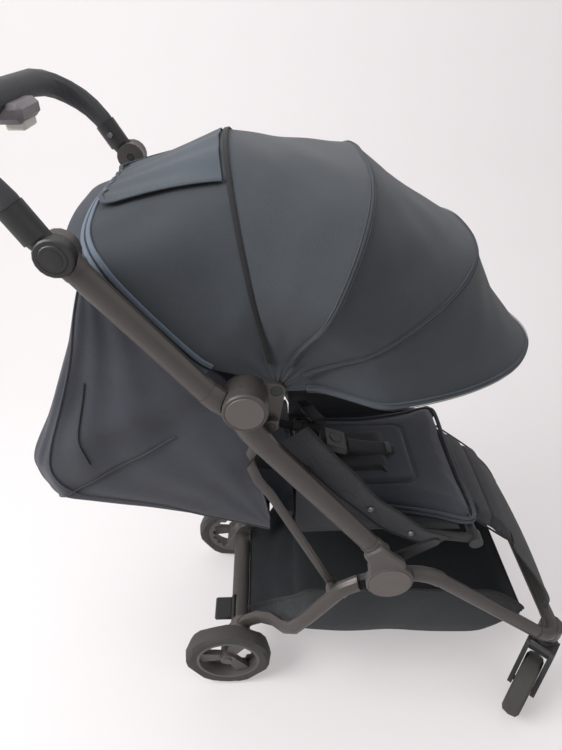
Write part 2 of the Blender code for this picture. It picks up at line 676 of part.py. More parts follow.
def front_leg(side, word):
    y = side * RAIL_Y
    slope = math.atan2(FRONT_LEG_END[1] - FRONT_LEG_SEAM[1], FRONT_LEG_END[0] - FRONT_LEG_SEAM[0])
    run, rise = unit(slope)
    horn_route = [(HUB[0] + 0.022, y, HUB[1] + 0.003), (HUB[0] + 0.050, y, HUB[1] + 0.0005),
                  (HUB[0] + 0.066, y, HUB[1] - 0.005), at(FRONT_LEG_SEAM, y),
                  (FRONT_LEG_SEAM[0] + 0.008 * run, y, FRONT_LEG_SEAM[1] + 0.008 * rise)]
    horn = oval_tube(horn_route, RAIL_WIDTH + 0.001, FRONT_LEG_HEIGHT + 0.003)
    horn = cut(
        horn,
        disc(side, (FRONT_DISC_Y[1] + GAP, 0.300), HUB, HUB_R + 0.0008, 20),
        disc(side, (0.150, FRONT_DISC_Y[0] - GAP), HUB, LEG_DISC_R + 0.0012, 18),
    )
    plate = disc(side, FRONT_DISC_Y, HUB, LEG_DISC_R, 18)
    leg = oval_tube([at(FRONT_LEG_SEAM, y), at(FRONT_LEG_END, y)], LEG_WIDTH, FRONT_LEG_HEIGHT)
    elbow_route = [(FRONT_LEG_END[0] - 0.006 * run, y, FRONT_LEG_END[1] - 0.006 * rise),
                   (0.566, y, 0.2030), (0.577, side * 0.1915, 0.2005), (0.5855, side * 0.1830, 0.2000),
                   (CROSS_BAR[0], side * 0.1690, CROSS_BAR[1]),
                   (CROSS_BAR[0], side * CROSS_BAR_HALF, CROSS_BAR[1])]
    elbow = oval_tube(elbow_route, RAIL_WIDTH + 0.001, FRONT_LEG_HEIGHT + 0.0015)
    top = (CASTOR_X, side * CASTOR_Y, CROSS_BAR[1] + 0.006)
    cup = soften(rod((CASTOR_X, side * CASTOR_Y, CUP_BOTTOM), top, CUP_R, 14), 0.0022)
    body = join(leg, horn, plate, elbow, cup)
    body = cut(
        body,
        disc(side, (0.150, FRONT_DISC_Y[1] + 0.010), HUB, HUB_PIN_R + 0.0008, 10),
        rod((CASTOR_X, side * CASTOR_Y, 0.150), (CASTOR_X, side * CASTOR_Y, 0.199), STEM_R + 0.0008, 10),
    )
    finish(body, f"front_leg_{word}", "front_frame", "frame")


def front_cross_bar():
    half = CROSS_BAR_HALF - GAP
    bar = oval_tube([at(CROSS_BAR, -half), at(CROSS_BAR, half)], RAIL_WIDTH, FRONT_LEG_HEIGHT, 14)
    finish(bar, "front_cross_bar", "front_frame", "frame")


def strut(side, word):
    middle = (STRUT_IN_Y + STRUT_OUT_Y) / 2
    inner = (ARM_IN_Y + ARM_OUT_Y) / 2 - 0.0002
    thick = STRUT_OUT_Y - STRUT_IN_Y
    elbow = [(*STRUT_TOP, middle), (0.0705, 0.6610, middle), (0.0605, 0.6350, middle),
             (0.0610, 0.6100, middle), (0.0690, 0.5850, middle)]
    foot = Vector(STRUT_FOOT)
    bend = Vector((0.0690, 0.5850))
    straight = [(*bend.lerp(foot, 0.14), inner), (*bend.lerp(foot, 1.0), inner)]
    route = [(x, side * out, z) for x, z, out in elbow + straight]
    bar = oval_tube(route, thick, 0.0150, 8)
    eye = disc(side, (STRUT_IN_Y, STRUT_OUT_Y), STRUT_TOP, 0.0095, 12)
    end = disc(side, (inner - thick / 2 + 0.0002, inner + thick / 2 - 0.0002), STRUT_FOOT, 0.0085, 12)
    body = cut(
        join(bar, eye, end),
        disc(side, (0.150, 0.230), STRUT_TOP, 0.0042 + RUNNING_GAP, 10),
        disc(side, (0.150, 0.230), STRUT_FOOT, 0.0035, 8),
    )
    finish(body, f"strut_{word}", f"strut_{word}", "frame")


def axle_housing(side, word):
    bar_end = (AXLE_BAR[0], AXLE_BAR[1])
    outline = wrapped((REAR_AXLE, 0.0150), (bar_end, 0.0170), ((0.0270, 0.1300), 0.0158))
    casting = soften(slab(side, (AXLE_BAR_HALF + GAP, 0.1340), outline), 0.0025)
    axle = disc(side, (0.1300, REAR_WHEEL_Y + REAR_TYRE_WIDTH / 2 - 0.003), REAR_AXLE, AXLE_R, 10)
    leg_end = Vector(REAR_LEG_ROUTE[-1])
    before = Vector(REAR_LEG_ROUTE[-2])
    end = Vector((leg_end.x, side * leg_end.y, leg_end.z))
    start = Vector((before.x, side * before.y, before.z))
    reach = (end - start).normalized()
    width, height = LEG_WIDTH + RUNNING_GAP * 2, REAR_LEG_HEIGHT + RUNNING_GAP * 3
    socket = oval_tube([start, end + reach * 0.0004], width, height)
    pin_way = brake_pin_place(side)
    across = Vector((0, side * 0.010, 0))
    hole = rod(pin_way - across, pin_way + across, BRAKE_PIN_R + GAP, 10)
    finish(cut(join(casting, axle), socket, hole), f"axle_housing_{word}", "rear_frame", "moulding")


def brake_pin_place(side):
    """Where a brake pin leaves its housing, in a gap between two notches of the rim."""
    turn = math.radians(58)
    reach = NOTCH_RING_R - NOTCH_DEPTH / 2 - 0.0005
    run, rise = unit(turn)
    return Vector((REAR_AXLE[0] + reach * run, side * 0.1340, REAR_AXLE[1] + reach * rise))


def brake_pin(side, word):
    face = brake_pin_place(side)
    pin = rod(face - Vector((0, side * 0.0092, 0)), face + Vector((0, side * 0.0006, 0)), BRAKE_PIN_R, 10)
    finish(pin, f"brake_pin_{word}", f"brake_pin_{word}", "black_plastic")


def rear_axle_bar():
    bar = oval_tube([at(AXLE_BAR, -AXLE_BAR_HALF), at(AXLE_BAR, AXLE_BAR_HALF)], 0.035, 0.022, 14)
    pocket = block((AXLE_BAR[0] - 0.016, -0.0705, AXLE_BAR[1]), (0.016, 0.0496, 0.040))
    finish(cut(bar, pocket), "rear_axle_bar", "rear_frame", "frame")


def brake_pedal():
    x, z = AXLE_BAR[0] - 0.0135, AXLE_BAR[1]
    barrel = rod((x, -0.0463, z), (x, -0.0947, z), 0.0048, 14)
    plate = block((AXLE_BAR[0] - 0.0330, -0.0705, AXLE_BAR[1] - 0.001), (0.034, 0.0480, 0.0080), 0.0028)
    finish(join(plate, barrel), "brake_pedal", "brake_pedal", "black_plastic")


def toothed_ring(side):
    """The rim's inner ring, whose teeth point at the axle. A brake pin drops between two of them."""
    pitch = math.tau / NOTCHES
    start = math.radians(58) - pitch / 2
    inner = []
    for k in range(NOTCHES):
        for share, depth in ((0.0, NOTCH_DEPTH), (0.5, 0.0)):
            turn = start + (k + share) * pitch
            reach = NOTCH_RING_R - depth
            inner.append((REAR_AXLE[0] + reach * math.cos(turn), REAR_AXLE[1] + reach * math.sin(turn)))
    depths = (REAR_WHEEL_Y - REAR_TYRE_WIDTH / 2 + 0.0008, REAR_WHEEL_Y - REAR_TYRE_WIDTH / 2 + 0.0068)
    return slab(side, depths, circle(REAR_AXLE, NOTCH_RING_R + 0.0062, 16), inner)


def rear_wheel(side, word):
    centre = (REAR_AXLE[0], side * REAR_WHEEL_Y, REAR_AXLE[1])
    half = REAR_TYRE_WIDTH / 2
    edge = half - 0.002
    band = turned([(0.0605, -edge), (0.0550, -edge), (0.0550, edge), (0.0605, edge)], centre, 28, side)
    hub_barrel = disc(side, (REAR_WHEEL_Y - 0.0135, REAR_WHEEL_Y + 0.0120), REAR_AXLE, 0.0150, 14)
    nose_depths = (REAR_WHEEL_Y + 0.008, REAR_WHEEL_Y + half - 0.001)
    hub_nose = button_disc(side, nose_depths, REAR_AXLE, 0.0078, 0.0012, 12)
    spokes = []
    for k in range(3):
        turn = math.radians(180 + 120 * k)
        run, rise = unit(turn)
        root, tip = 0.008, 0.0565
        outline = [(root * run - 0.0085 * rise, root * rise + 0.0085 * run),
                   (tip * run - 0.0145 * rise, tip * rise + 0.0145 * run),
                   (tip * run + 0.0145 * rise, tip * rise - 0.0145 * run),
                   (root * run + 0.0085 * rise, root * rise - 0.0085 * run)]
        outline = [(REAR_AXLE[0] + x, REAR_AXLE[1] + z) for x, z in outline]
        spokes.append(slab(side, (REAR_WHEEL_Y - 0.004, REAR_WHEEL_Y + 0.0065), outline))
    rim = join(band, hub_barrel, toothed_ring(side), hub_nose, *spokes)
    bore = disc(side, (0.100, REAR_WHEEL_Y + half - 0.0025), REAR_AXLE, AXLE_R + 0.0005, 10)
    finish(cut(rim, bore), f"rear_rim_{word}", f"rear_wheel_{word}", "rim")

    steps = 28
    mesh_rows = []
    for k in range(steps):
        turn = math.tau * k / steps
        lift = 0.0016 if k % 4 in (0, 1) else 0.0
        run, rise = unit(turn)
        shoulder = half - 0.0030 - lift
        profile = [(0.0608, -edge), (0.0725, -half), (0.0805 - lift, -shoulder), (0.0825, 0.0),
                   (0.0805 - lift, shoulder), (0.0725, half), (0.0608, edge)]
        places = [(r * run, side * out, r * rise) for r, out in profile]
        mesh_rows.append([Vector(centre) + Vector(place) for place in places])
    finish(ring_of(mesh_rows), f"rear_tyre_{word}", f"rear_wheel_{word}", "tyre")


def ring_of(sections):
    """A closed ring through closed sections, for a tyre whose shoulders change round it."""
    shape = bmesh.new()
    rows = [[shape.verts.new(point) for point in section] for section in sections]
    for k, row in enumerate(rows):
        following = rows[(k + 1) % len(rows)]
        for c, vert in enumerate(row):
            step = (c + 1) % len(row)
            shape.faces.new((vert, row[step], following[step], following[c]))
    bmesh.ops.recalc_face_normals(shape, faces=shape.faces)
    mesh = bpy.data.meshes.new("ring")
    shape.to_mesh(mesh)
    shape.free()
    return helper("ring", mesh)


def castor_frame(side):
    """A matrix from the castor's own plane, with x trailing and y across, to the world."""
    turn = Matrix.Rotation(math.pi + side * -CASTOR_TURN, 4, "Z")
    return Matrix.Translation((CASTOR_X, side * CASTOR_Y, 0.0)) @ turn


def castor(side, word):
    place = castor_frame(side)
    inner = FRONT_TYRE_WIDTH / 2 + 0.0014
    crown = block((0.006, 0.0, 0.1470), (0.040, 2 * (inner + FORK_LEG) - 0.001, 0.024), 0.006)
    stem_collar = rod((0, 0, 0.150), (0, 0, CUP_BOTTOM - RUNNING_GAP), 0.0182, 16)
    groove = turned_z([(0.0205, 0.1735), (0.0162, 0.1735), (0.0162, 0.1700), (0.0205, 0.1700)], 16)
    stem = rod((0, 0, 0.165), (0, 0, 0.1970), STEM_R, 10)
    legs = []
    for hand in (-1, 1):
        eye = ((CASTOR_TRAIL, FRONT_WHEEL_R), 0.0125)
        leg_outline = wrapped(eye, ((0.020, 0.147), 0.0105), ((-0.003, 0.147), 0.010), sides=10)
        legs.append(slab(hand, (inner, inner + FORK_LEG), leg_outline))
    reach = inner + 0.004
    axle = rod((CASTOR_TRAIL, -reach, FRONT_WHEEL_R), (CASTOR_TRAIL, reach, FRONT_WHEEL_R), AXLE_R, 10)
    collar = cut(stem_collar, groove)
    body = join(crown, collar, stem, *legs, axle)
    body.data.transform(place)
    finish(body, f"castor_fork_{word}", f"castor_{word}", "black_plastic")


def turned_z(profile, steps):
    """A closed (radius, z) profile turned about the vertical axis."""
    obj = turned(profile, (0.0, 0.0, 0.0), steps)
    obj.data.transform(Matrix.Rotation(math.pi / 2, 4, "X"))
    return obj


def front_wheel(side, word):
    place = castor_frame(side)
    half = FRONT_TYRE_WIDTH / 2
    centre = (CASTOR_TRAIL, 0.0, FRONT_WHEEL_R)
    tyre = turned([(0.0405, -half + 0.002), (0.0530, -half), (0.0598, -half + 0.0040), (FRONT_WHEEL_R, 0.0),
                   (0.0598, half - 0.0040), (0.0530, half), (0.0405, half - 0.002)], centre, 24)
    tyre.data.transform(place)
    finish(tyre, f"front_tyre_{word}", f"front_wheel_{word}", "tyre")
    edge = half - 0.003
    band = turned([(0.0402, -edge), (0.0350, -edge), (0.0350, edge), (0.0402, edge)], centre, 24)
    reach = half - 0.001
    barrel = rod((CASTOR_TRAIL, -reach, FRONT_WHEEL_R), (CASTOR_TRAIL, reach, FRONT_WHEEL_R), 0.0120, 12)
    spokes = []
    for k in range(5):
        run, rise = unit(math.tau * k / 5 + 0.3)
        outline = [(0.006 * run - 0.004 * rise, 0.006 * rise + 0.004 * run),
                   (0.0365 * run - 0.005 * rise, 0.0365 * rise + 0.005 * run),
                   (0.0365 * run + 0.005 * rise, 0.0365 * rise - 0.005 * run),
                   (0.006 * run + 0.004 * rise, 0.006 * rise - 0.004 * run)]
        outline = [(centre[0] + x, centre[2] + z) for x, z in outline]
        spokes.append(slab(1, (-0.0055, 0.0055), outline))
    rim = join(band, barrel, *spokes)
    bore = rod((CASTOR_TRAIL, -half - 0.01, FRONT_WHEEL_R), (CASTOR_TRAIL, half + 0.01, FRONT_WHEEL_R),
               AXLE_R + 0.0005, 10)
    rim = cut(rim, bore)
    rim.data.transform(place)
    finish(rim, f"front_rim_{word}", f"front_wheel_{word}", "rim")


def mirrored_route(half_route):
    """A route from right to left through the centre plane, from its left half."""
    return [(x, -y, z) for x, y, z in half_route] + [point for point in reversed(half_route[:-1])]


def grip_scales(route):
    """The grip swells from its ends to the straight middle."""
    top = GRIP_ROUTE[-1][2]
    low = SLEEVE_END[2]
    shares = [min(1.0, max(0.0, (point[2] - low) / (top - low))) for point in route]
    return [(GRIP_THIN + (GRIP_THICK - GRIP_THIN) * share) / GRIP_THICK for share in shares]


def handle():
    route = mirrored_route(GRIP_ROUTE)
    long_route = mirrored_route([SLEEVE_SEAM] + GRIP_ROUTE)
    tube = oval_tube(long_route, HANDLE_TUBE, HANDLE_TUBE, 8)
    pieces = []
    for side in (-1, 1):
        pivot = Vector(at(HANDLE_PIVOT, side * RAIL_Y))
        seam = Vector((SLEEVE_SEAM[0], side * SLEEVE_SEAM[1], SLEEVE_SEAM[2]))
        end = Vector((SLEEVE_END[0], side * SLEEVE_END[1], SLEEVE_END[2]))
        reach = (end - seam).normalized()
        arm = oval_tube([pivot + (seam - pivot) * 0.25, seam + reach * 0.004], 0.024, 0.0290, 10)
        arm = cut(
            arm,
            disc(side, (0.150, ARM_DISC_Y[0] - GAP), HANDLE_PIVOT, HANDLE_DISC_R + 0.0008, 18),
        )
        sleeve = oval_tube([seam - reach * 0.0005, end - reach * GAP], SLEEVE_WIDTH, SLEEVE_WIDTH, 12)
        plate = button_disc(side, ARM_DISC_Y, HANDLE_PIVOT, HANDLE_DISC_R, 0.0016, 18)
        pin = disc(side, (RAIL_DISC_Y[0] - 0.0006, ARM_DISC_Y[0] + 0.003), HANDLE_PIVOT, HANDLE_PIN_R, 10)
        body = join(arm, sleeve, plate, pin)
        pocket = disc(side, (ARM_DISC_Y[1] - 0.0072, 0.230), HANDLE_PIVOT, PIVOT_BUTTON_R + GAP, 18)
        pieces.append(cut(body, pocket))
    finish(join(tube, *pieces), "handle_tube", "handle", "black_plastic")

    grip = oval_tube(route, GRIP_THICK, GRIP_THICK, 10, grip_scales(route))
    bore = oval_tube(long_route, HANDLE_TUBE + 2 * SLEEVE_GAP, HANDLE_TUBE + 2 * SLEEVE_GAP, 8)
    finish(cut(grip, bore), "grip", "handle", "grip")


def release_parts():
    x, y, z = RELEASE_CENTRE
    body = block(RELEASE_CENTRE, RELEASE_SIZE, 0.006)
    route = mirrored_route(GRIP_ROUTE)
    scales = [scale * (1 + 2 * GAP / GRIP_THICK) for scale in grip_scales(route)]
    saddle = oval_tube(route, GRIP_THICK, GRIP_THICK, 10, scales)
    size = RELEASE_BUTTON_SIZE
    floor = z - RELEASE_SIZE[2] / 2
    pocket_top = floor + RELEASE_POCKET
    pocket = block((x + 0.002, y, (floor - 0.02 + pocket_top) / 2),
                   (size[0] + 2 * GAP, size[1] + 2 * GAP, pocket_top - floor + 0.02))
    finish(cut(body, saddle, pocket), "release_housing", "handle", "housing")
    top = pocket_top - RELEASE_TRAVEL - GAP
    button = block((x + 0.002, y, top - size[2] / 2), size, 0.0022)
    finish(button, "release_button", "release_button", "button")


def pivot_button(side, word):
    out = ARM_DISC_Y[1]
    button = button_disc(side, (out - 0.0040, out + 0.0010), HANDLE_PIVOT, PIVOT_BUTTON_R, 0.0010, 18)
    finish(button, f"pivot_button_{word}", f"pivot_button_{word}", "black_plastic")


def hoop_point(name_or_hoop, share, tab_y=0.165):
    """A point of a canopy hoop, from the right pivot at 0 to the left one at 1."""
    turn, reach, half_width, roundness = name_or_hoop
    start = math.asin((HOOP_TAB_LENGTH / reach) ** (1 / roundness))
    angle = start + (math.pi - 2 * start) * share
    radius = reach * math.sin(angle) ** roundness
    spread = min(1.0, max(0.0, (radius - 0.046) / 0.095))
    spread = spread * spread * (3 - 2 * spread)
    width = tab_y + (half_width - tab_y) * spread
    y = -math.copysign(abs(math.cos(angle)) ** roundness, math.cos(angle)) * width
    run, rise = unit(math.radians(turn))
    return Vector((CANOPY_PIVOT[0] + radius * run, y, CANOPY_PIVOT[1] + radius * rise))


def canopy_bow(name):
    hoop = HOOPS[name]
    tab_y = HOOP_TAB_Y[name]
    steps = 16
    route = [hoop_point(hoop, k / steps, tab_y) for k in range(steps + 1)]
    wire = oval_tube(route, HOOP_WIRE, HOOP_WIRE, 6)
    run, rise = unit(math.radians(hoop[0]))
    tabs = []
    for side in (-1, 1):
        length = HOOP_TAB_LENGTH + 0.001
        tip = (CANOPY_PIVOT[0] + length * run, CANOPY_PIVOT[1] + length * rise)
        outline = wrapped((CANOPY_PIVOT, 0.0068), (tip, 0.0024), sides=8)
        depths = (tab_y - HOOP_TAB_THICK / 2, tab_y + HOOP_TAB_THICK / 2)
        tabs.append(slab(side, depths, outline, circle(CANOPY_PIVOT, KNOB_SHAFT_R + 0.0005, 8)))
    finish(join(wire, *tabs), name, name, "bow")


def hoop_share(column):
    return 0.045 + 0.91 * column / CANOPY_COLUMNS


def hoop_line(hoop):
    """Points along the part of a hoop that carries cloth."""
    return [hoop_point(hoop, hoop_share(c)) for c in range(CANOPY_COLUMNS + 1)]


def canopy_panel(name, back, front, body):
    """Cloth between two lines, from just clear of one wire to just clear of the other."""
    rows = 2
    clear = HOOP_WIRE / 2 + CANOPY_CLOTH / 2 + GAP
    grid = []
    for r in range(rows + 1):
        row = []
        for c, (first, last) in enumerate(zip(back, front)):
            share = hoop_share(c)
            along = last - first
            step = along.normalized() * clear
            point = (first + step).lerp(last - step, r / rows)
            sag = 0.004 * math.sin(math.pi * r / rows) * math.sin(math.pi * share)
            centre = Vector((CANOPY_PIVOT[0], point.y, CANOPY_PIVOT[1]))
            row.append(point - (point - centre).normalized() * sag)
        grid.append(row)
    finish(sheet(grid, CANOPY_CLOTH), name, body, "canopy")


def seat_frame():
    route = SEAT_TUBE_ROUTE
    bars = []
    for side in (-1, 1):
        y = side * SEAT_TUBE_Y
        bars.append(oval_tube([at(place, y) for place in route], SEAT_TUBE, SEAT_TUBE))
        bars.append(disc(side, (SEAT_TUBE_Y - 0.0100, SEAT_TUBE_Y + 0.0110), CALF_PIVOT, 0.0112, 14))
        inner_face = side * (RAIL_Y - RAIL_WIDTH / 2 - 0.0004)
        bars.append(rod((0.136, y, 0.5935), (0.136, inner_face, 0.5935), 0.0070, 10))
        hook = (0.340, 0.4362)
        bars.append(rod(at(hook, y), at(hook, side * 0.1740), 0.0060, 10))
        link = wrapped((HUB, 0.0120), (hook, 0.0075), sides=12)
        bars.append(slab(side, (0.1690, 0.1745), link))
    cross = rod(at(CALF_PIVOT, -SEAT_TUBE_Y), at(CALF_PIVOT, SEAT_TUBE_Y), SEAT_TUBE / 2, 14)
    body = join(cross, *bars)
    holes = [disc(side, (0.166, 0.180), HUB, HUB_PIN_R + GAP, 10) for side in (-1, 1)]
    finish(cut(body, *holes), "seat_frame", "chassis", "frame")


def seat_tube_height(x):
    for (x0, z0), (x1, z1) in zip(SEAT_TUBE_ROUTE, SEAT_TUBE_ROUTE[1:]):
        if x <= x1:
            return z0 + (z1 - z0) * (x - x0) / (x1 - x0)
    return SEAT_TUBE_ROUTE[-1][1]


def seat_sling():
    inner = SEAT_TUBE_Y - SEAT_TUBE / 2 - SLING_THICK / 2 - 0.0006
    rows = []
    steps = 5
    for k in range(steps + 1):
        x = SEAT_BACK_X - 0.004 + (SEAT_FRONT_X - 0.002 - SEAT_BACK_X) * k / steps
        top = max(seat_tube_height(x) + 0.002, SEAT_BASE_Z + 0.004)
        fold = min(0.014, (top - SEAT_BASE_Z) * 0.6)
        half = [(inner, top), (inner, (top + SEAT_BASE_Z + fold) / 2), (inner, SEAT_BASE_Z + fold),
                (inner - 0.008, SEAT_BASE_Z), (inner * 0.5, SEAT_BASE_Z - 0.002)]
        row = [(x, y, z) for y, z in half] + [(x, 0.0, SEAT_BASE_Z - 0.002)]
        rows.append(mirrored_route(row))
    finish(sheet(rows, SLING_THICK), "seat_sling", "chassis", "seat_dark")


def seat_cushion():
    lift = SEAT_BASE_Z + SLING_THICK / 2 + GAP + CUSHION_HEIGHT * 0.26
    place = Matrix.Translation((SEAT_BACK_X + 0.002, 0.0, lift))
    length = SEAT_FRONT_X - SEAT_BACK_X - 0.004
    cushion = padded(length, CUSHION_HALF, CUSHION_HEIGHT, 0.004, (0.36, 0.68), place)
    finish(cushion, "seat_cushion", "chassis", "seat")


def harness():
    z = STRAP_Z
    route = [(0.292, 0.0, z), (0.268, 0.0, z + 0.001), (0.243, 0.0, z + 0.010), (0.2215, 0.0, z + 0.0195)]
    strap = oval_tube(route, 0.034, 0.007, 8)
    finish(strap, "crotch_strap", "chassis", "webbing")
    tilt = Matrix.Rotation(math.radians(20), 4, "Y")
    place = Matrix.Translation((0.1970, 0.0, z + 0.0285)) @ tilt
    body = block((0, 0, 0), (0.050, 0.058, 0.018), 0.007)
    pocket = rod((0, 0, 0.0015), (0, 0, 0.020), 0.0115 + GAP, 16)
    body = cut(body, pocket)
    body.data.transform(place)
    finish(body, "buckle", "chassis", "black_plastic")
    button = soften(rod((0, 0, 0.0045), (0, 0, 0.0098), 0.0115, 16), 0.0010)
    button.data.transform(place)
    finish(button, "buckle_button", "buckle_button", "moulding")


def calf_rest():
    run, rise = unit(CALF_TILT)
    place = Matrix.Translation((CALF_PIVOT[0], 0.0, CALF_PIVOT[1])) @ Matrix.Rotation(-CALF_TILT, 4, "Y")
    place = place @ Matrix.Translation((0.0060, 0.0, 0.0035))
    pad = padded(CALF_LENGTH, CALF_HALF, CALF_THICK, 0.003, (0.5,), place, ends=0.8)
    knuckle = rod(at(CALF_PIVOT, -0.105), at(CALF_PIVOT, 0.105), 0.0125, 16)
    bore = rod(at(CALF_PIVOT, -0.160), at(CALF_PIVOT, 0.160), SEAT_TUBE / 2 + RUNNING_GAP, 14)
    finish(cut(join(pad, knuckle), bore), "calf_rest", "calf_rest", "seat_dark")


def front_panel():
    """The mesh panel that hangs from the calf rest's lip to the front cross bar."""
    line = [(0.5080, 0.3440, 0.118), (0.5330, 0.3150, 0.130), (0.5560, 0.2860, 0.140),
            (0.5760, 0.2560, 0.145), (0.5860, 0.2340, 0.146), (0.5850, 0.2128, 0.146)]
    rows = []
    for x, z, half in line:
        bulge = 0.006 if z > 0.22 else 0.0
        rows.append([(x + bulge * (1 - share**2), share * half, z + bulge * 0.3 * (1 - share**2))
                     for share in (-1.0, -0.66, -0.33, 0.0, 0.33, 0.66, 1.0)])
    finish(sheet(rows, PANEL_CLOTH), "front_panel", "front_frame", "mesh")


def backrest():
    place = Matrix.Translation((BACK_PIVOT[0], 0.0, BACK_PIVOT[1])) @ Matrix.Rotation(-BACK_TILT, 4, "Y")
    place = place @ Matrix.Rotation(math.pi, 4, "X") @ Matrix.Translation((0.002, 0.0, 0.010))
    pad = padded(BACK_LENGTH, BACK_HALF, BACK_THICK, 0.004, (0.34, 0.67), place)
    reach = SEAT_TUBE_Y - SEAT_TUBE / 2 - SLING_THICK - 2 * RUNNING_GAP
    roll = rod(at(BACK_PIVOT, -reach), at(BACK_PIVOT, reach), BACK_ROLL_R, 14)
    finish(join(pad, roll), "backrest", "backrest", "seat")


def sack():
    """The cloth tub behind the reclined seat, open to the front between its rims."""
    levels = [(1.0, 0.0), (1.0, 0.50), (0.97, 0.92), (0.85, 1.0), (0.0, 1.0)]
    rows = []
    for back, rim in zip(SACK_BACK, SACK_RIM):
        half = []
        for width, depth in levels:
            x = rim[0] + (back[0] - rim[0]) * depth
            z = rim[1] + (back[1] - rim[1]) * depth
            half.append((x, width * SACK_HALF, z))
        rows.append(mirrored_route(half))
    finish(sheet(rows, PANEL_CLOTH), "sack", "handle_frame", "sack")


def basket():
    """The cloth tub under the seat. It follows the legs and stays clear of their swing."""
    stations = [
        (0.0399, 0.0955, 0.1480, 0.1470, 0.060), (0.0404, 0.0955, 0.1480, 0.1080, 0.075),
        (0.0900, 0.1080, 0.1900, 0.1120, 0.085), (0.1300, 0.1450, 0.2600, 0.1250, 0.110),
        (0.1600, BASKET_HALF, 0.3020, 0.1450, 0.135), (0.2600, BASKET_HALF, 0.3020, 0.1450, 0.140),
        (0.3600, BASKET_HALF, 0.2950, 0.1380, 0.140), (0.4600, BASKET_HALF, 0.2850, 0.1340, 0.140),
        (0.5100, BASKET_HALF - 0.003, 0.2500, 0.1500, 0.130),
        (0.5330, BASKET_HALF - 0.008, 0.2250, 0.1700, 0.125),
        (0.5380, BASKET_HALF - 0.010, 0.2150, 0.2130, 0.120),
    ]
    rows = []
    for x, half_width, hem, floor, foot in stations:
        drop = hem - floor
        bend = foot + 0.75 * (half_width - foot)
        half = [(x, half_width, hem), (x, half_width, hem - 0.45 * drop), (x, bend, floor + 0.2 * drop),
                (x, foot, floor + 0.02 * drop), (x, 0.0, floor)]
        rows.append(mirrored_route(half))
    finish(sheet(rows, BASKET_CLOTH), "basket", "chassis", "basket")


def build():
    make_bodies()
    for word, side in (("right", -1), ("left", 1)):
        upper_rail(side, word)
        canopy_knob(side, word)
        lower_rail(side, word)
        hinge_cover(side, word)
        hub(side, word)
        hub_cap(side, word)
        rear_leg(side, word)
        front_leg(side, word)
        strut(side, word)
        axle_housing(side, word)
        brake_pin(side, word)
        rear_wheel(side, word)
        castor(side, word)
        front_wheel(side, word)
        pivot_button(side, word)
    front_cross_bar()
    rear_axle_bar()
    brake_pedal()
    handle()
    release_parts()
    for name in HOOPS:
        canopy_bow(name)
    lines = [[Vector(point) for point in mirrored_route(REAR_EDGE)]]
    lines += [hoop_line(hoop) for hoop in HOOPS.values()]
    bodies = ["handle_frame"] + list(HOOPS)[:-1]
    for k, body in enumerate(bodies):
        canopy_panel(f"canopy_panel_{k + 1}", lines[k], lines[k + 1], body)
    seat_frame()
    seat_sling()
    seat_cushion()
    harness()
    calf_rest()
    front_panel()
    backrest()
    sack()
    basket()


build()
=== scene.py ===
"""Looks of a compact folding stroller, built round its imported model. Sizes are in metres."""

import math

import bmesh
import bpy
import numpy as np
from bpy.props import FloatProperty, FloatVectorProperty, PointerProperty
from mathutils import Matrix, Vector
from mathutils.bvhtree import BVHTree


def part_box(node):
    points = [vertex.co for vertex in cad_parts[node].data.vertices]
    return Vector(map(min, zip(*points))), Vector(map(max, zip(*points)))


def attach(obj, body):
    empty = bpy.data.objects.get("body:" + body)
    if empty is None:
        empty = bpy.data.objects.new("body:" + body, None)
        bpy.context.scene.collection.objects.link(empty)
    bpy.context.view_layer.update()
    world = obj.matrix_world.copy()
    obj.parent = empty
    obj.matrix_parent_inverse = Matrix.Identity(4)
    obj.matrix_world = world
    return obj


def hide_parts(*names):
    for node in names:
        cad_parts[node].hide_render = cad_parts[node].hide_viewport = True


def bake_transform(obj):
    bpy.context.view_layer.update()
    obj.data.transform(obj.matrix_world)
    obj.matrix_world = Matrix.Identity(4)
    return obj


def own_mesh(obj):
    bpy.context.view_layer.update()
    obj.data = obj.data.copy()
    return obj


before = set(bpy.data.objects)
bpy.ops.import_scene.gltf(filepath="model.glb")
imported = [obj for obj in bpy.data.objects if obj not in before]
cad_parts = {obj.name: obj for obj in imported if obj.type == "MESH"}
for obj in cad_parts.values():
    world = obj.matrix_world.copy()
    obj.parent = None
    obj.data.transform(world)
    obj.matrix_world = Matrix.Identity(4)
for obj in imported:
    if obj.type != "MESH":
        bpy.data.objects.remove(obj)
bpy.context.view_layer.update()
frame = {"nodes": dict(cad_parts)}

bl_info = {
    "name": "Folding stroller",
    "version": (1, 0, 0),
    "blender": (4, 5, 0),
    "location": "3D View > Sidebar > Stroller",
    "description": "Cloth, padding, trim and finishes of a compact folding stroller",
    "category": "Object",
}

# The part's own origin, in the coordinates of the sizes below
MIDDLE_X = 0.1855
SIDES = (("right", -1), ("left", 1))
UP = (0, 0, 1)
SHARP_ANGLE = math.radians(38)

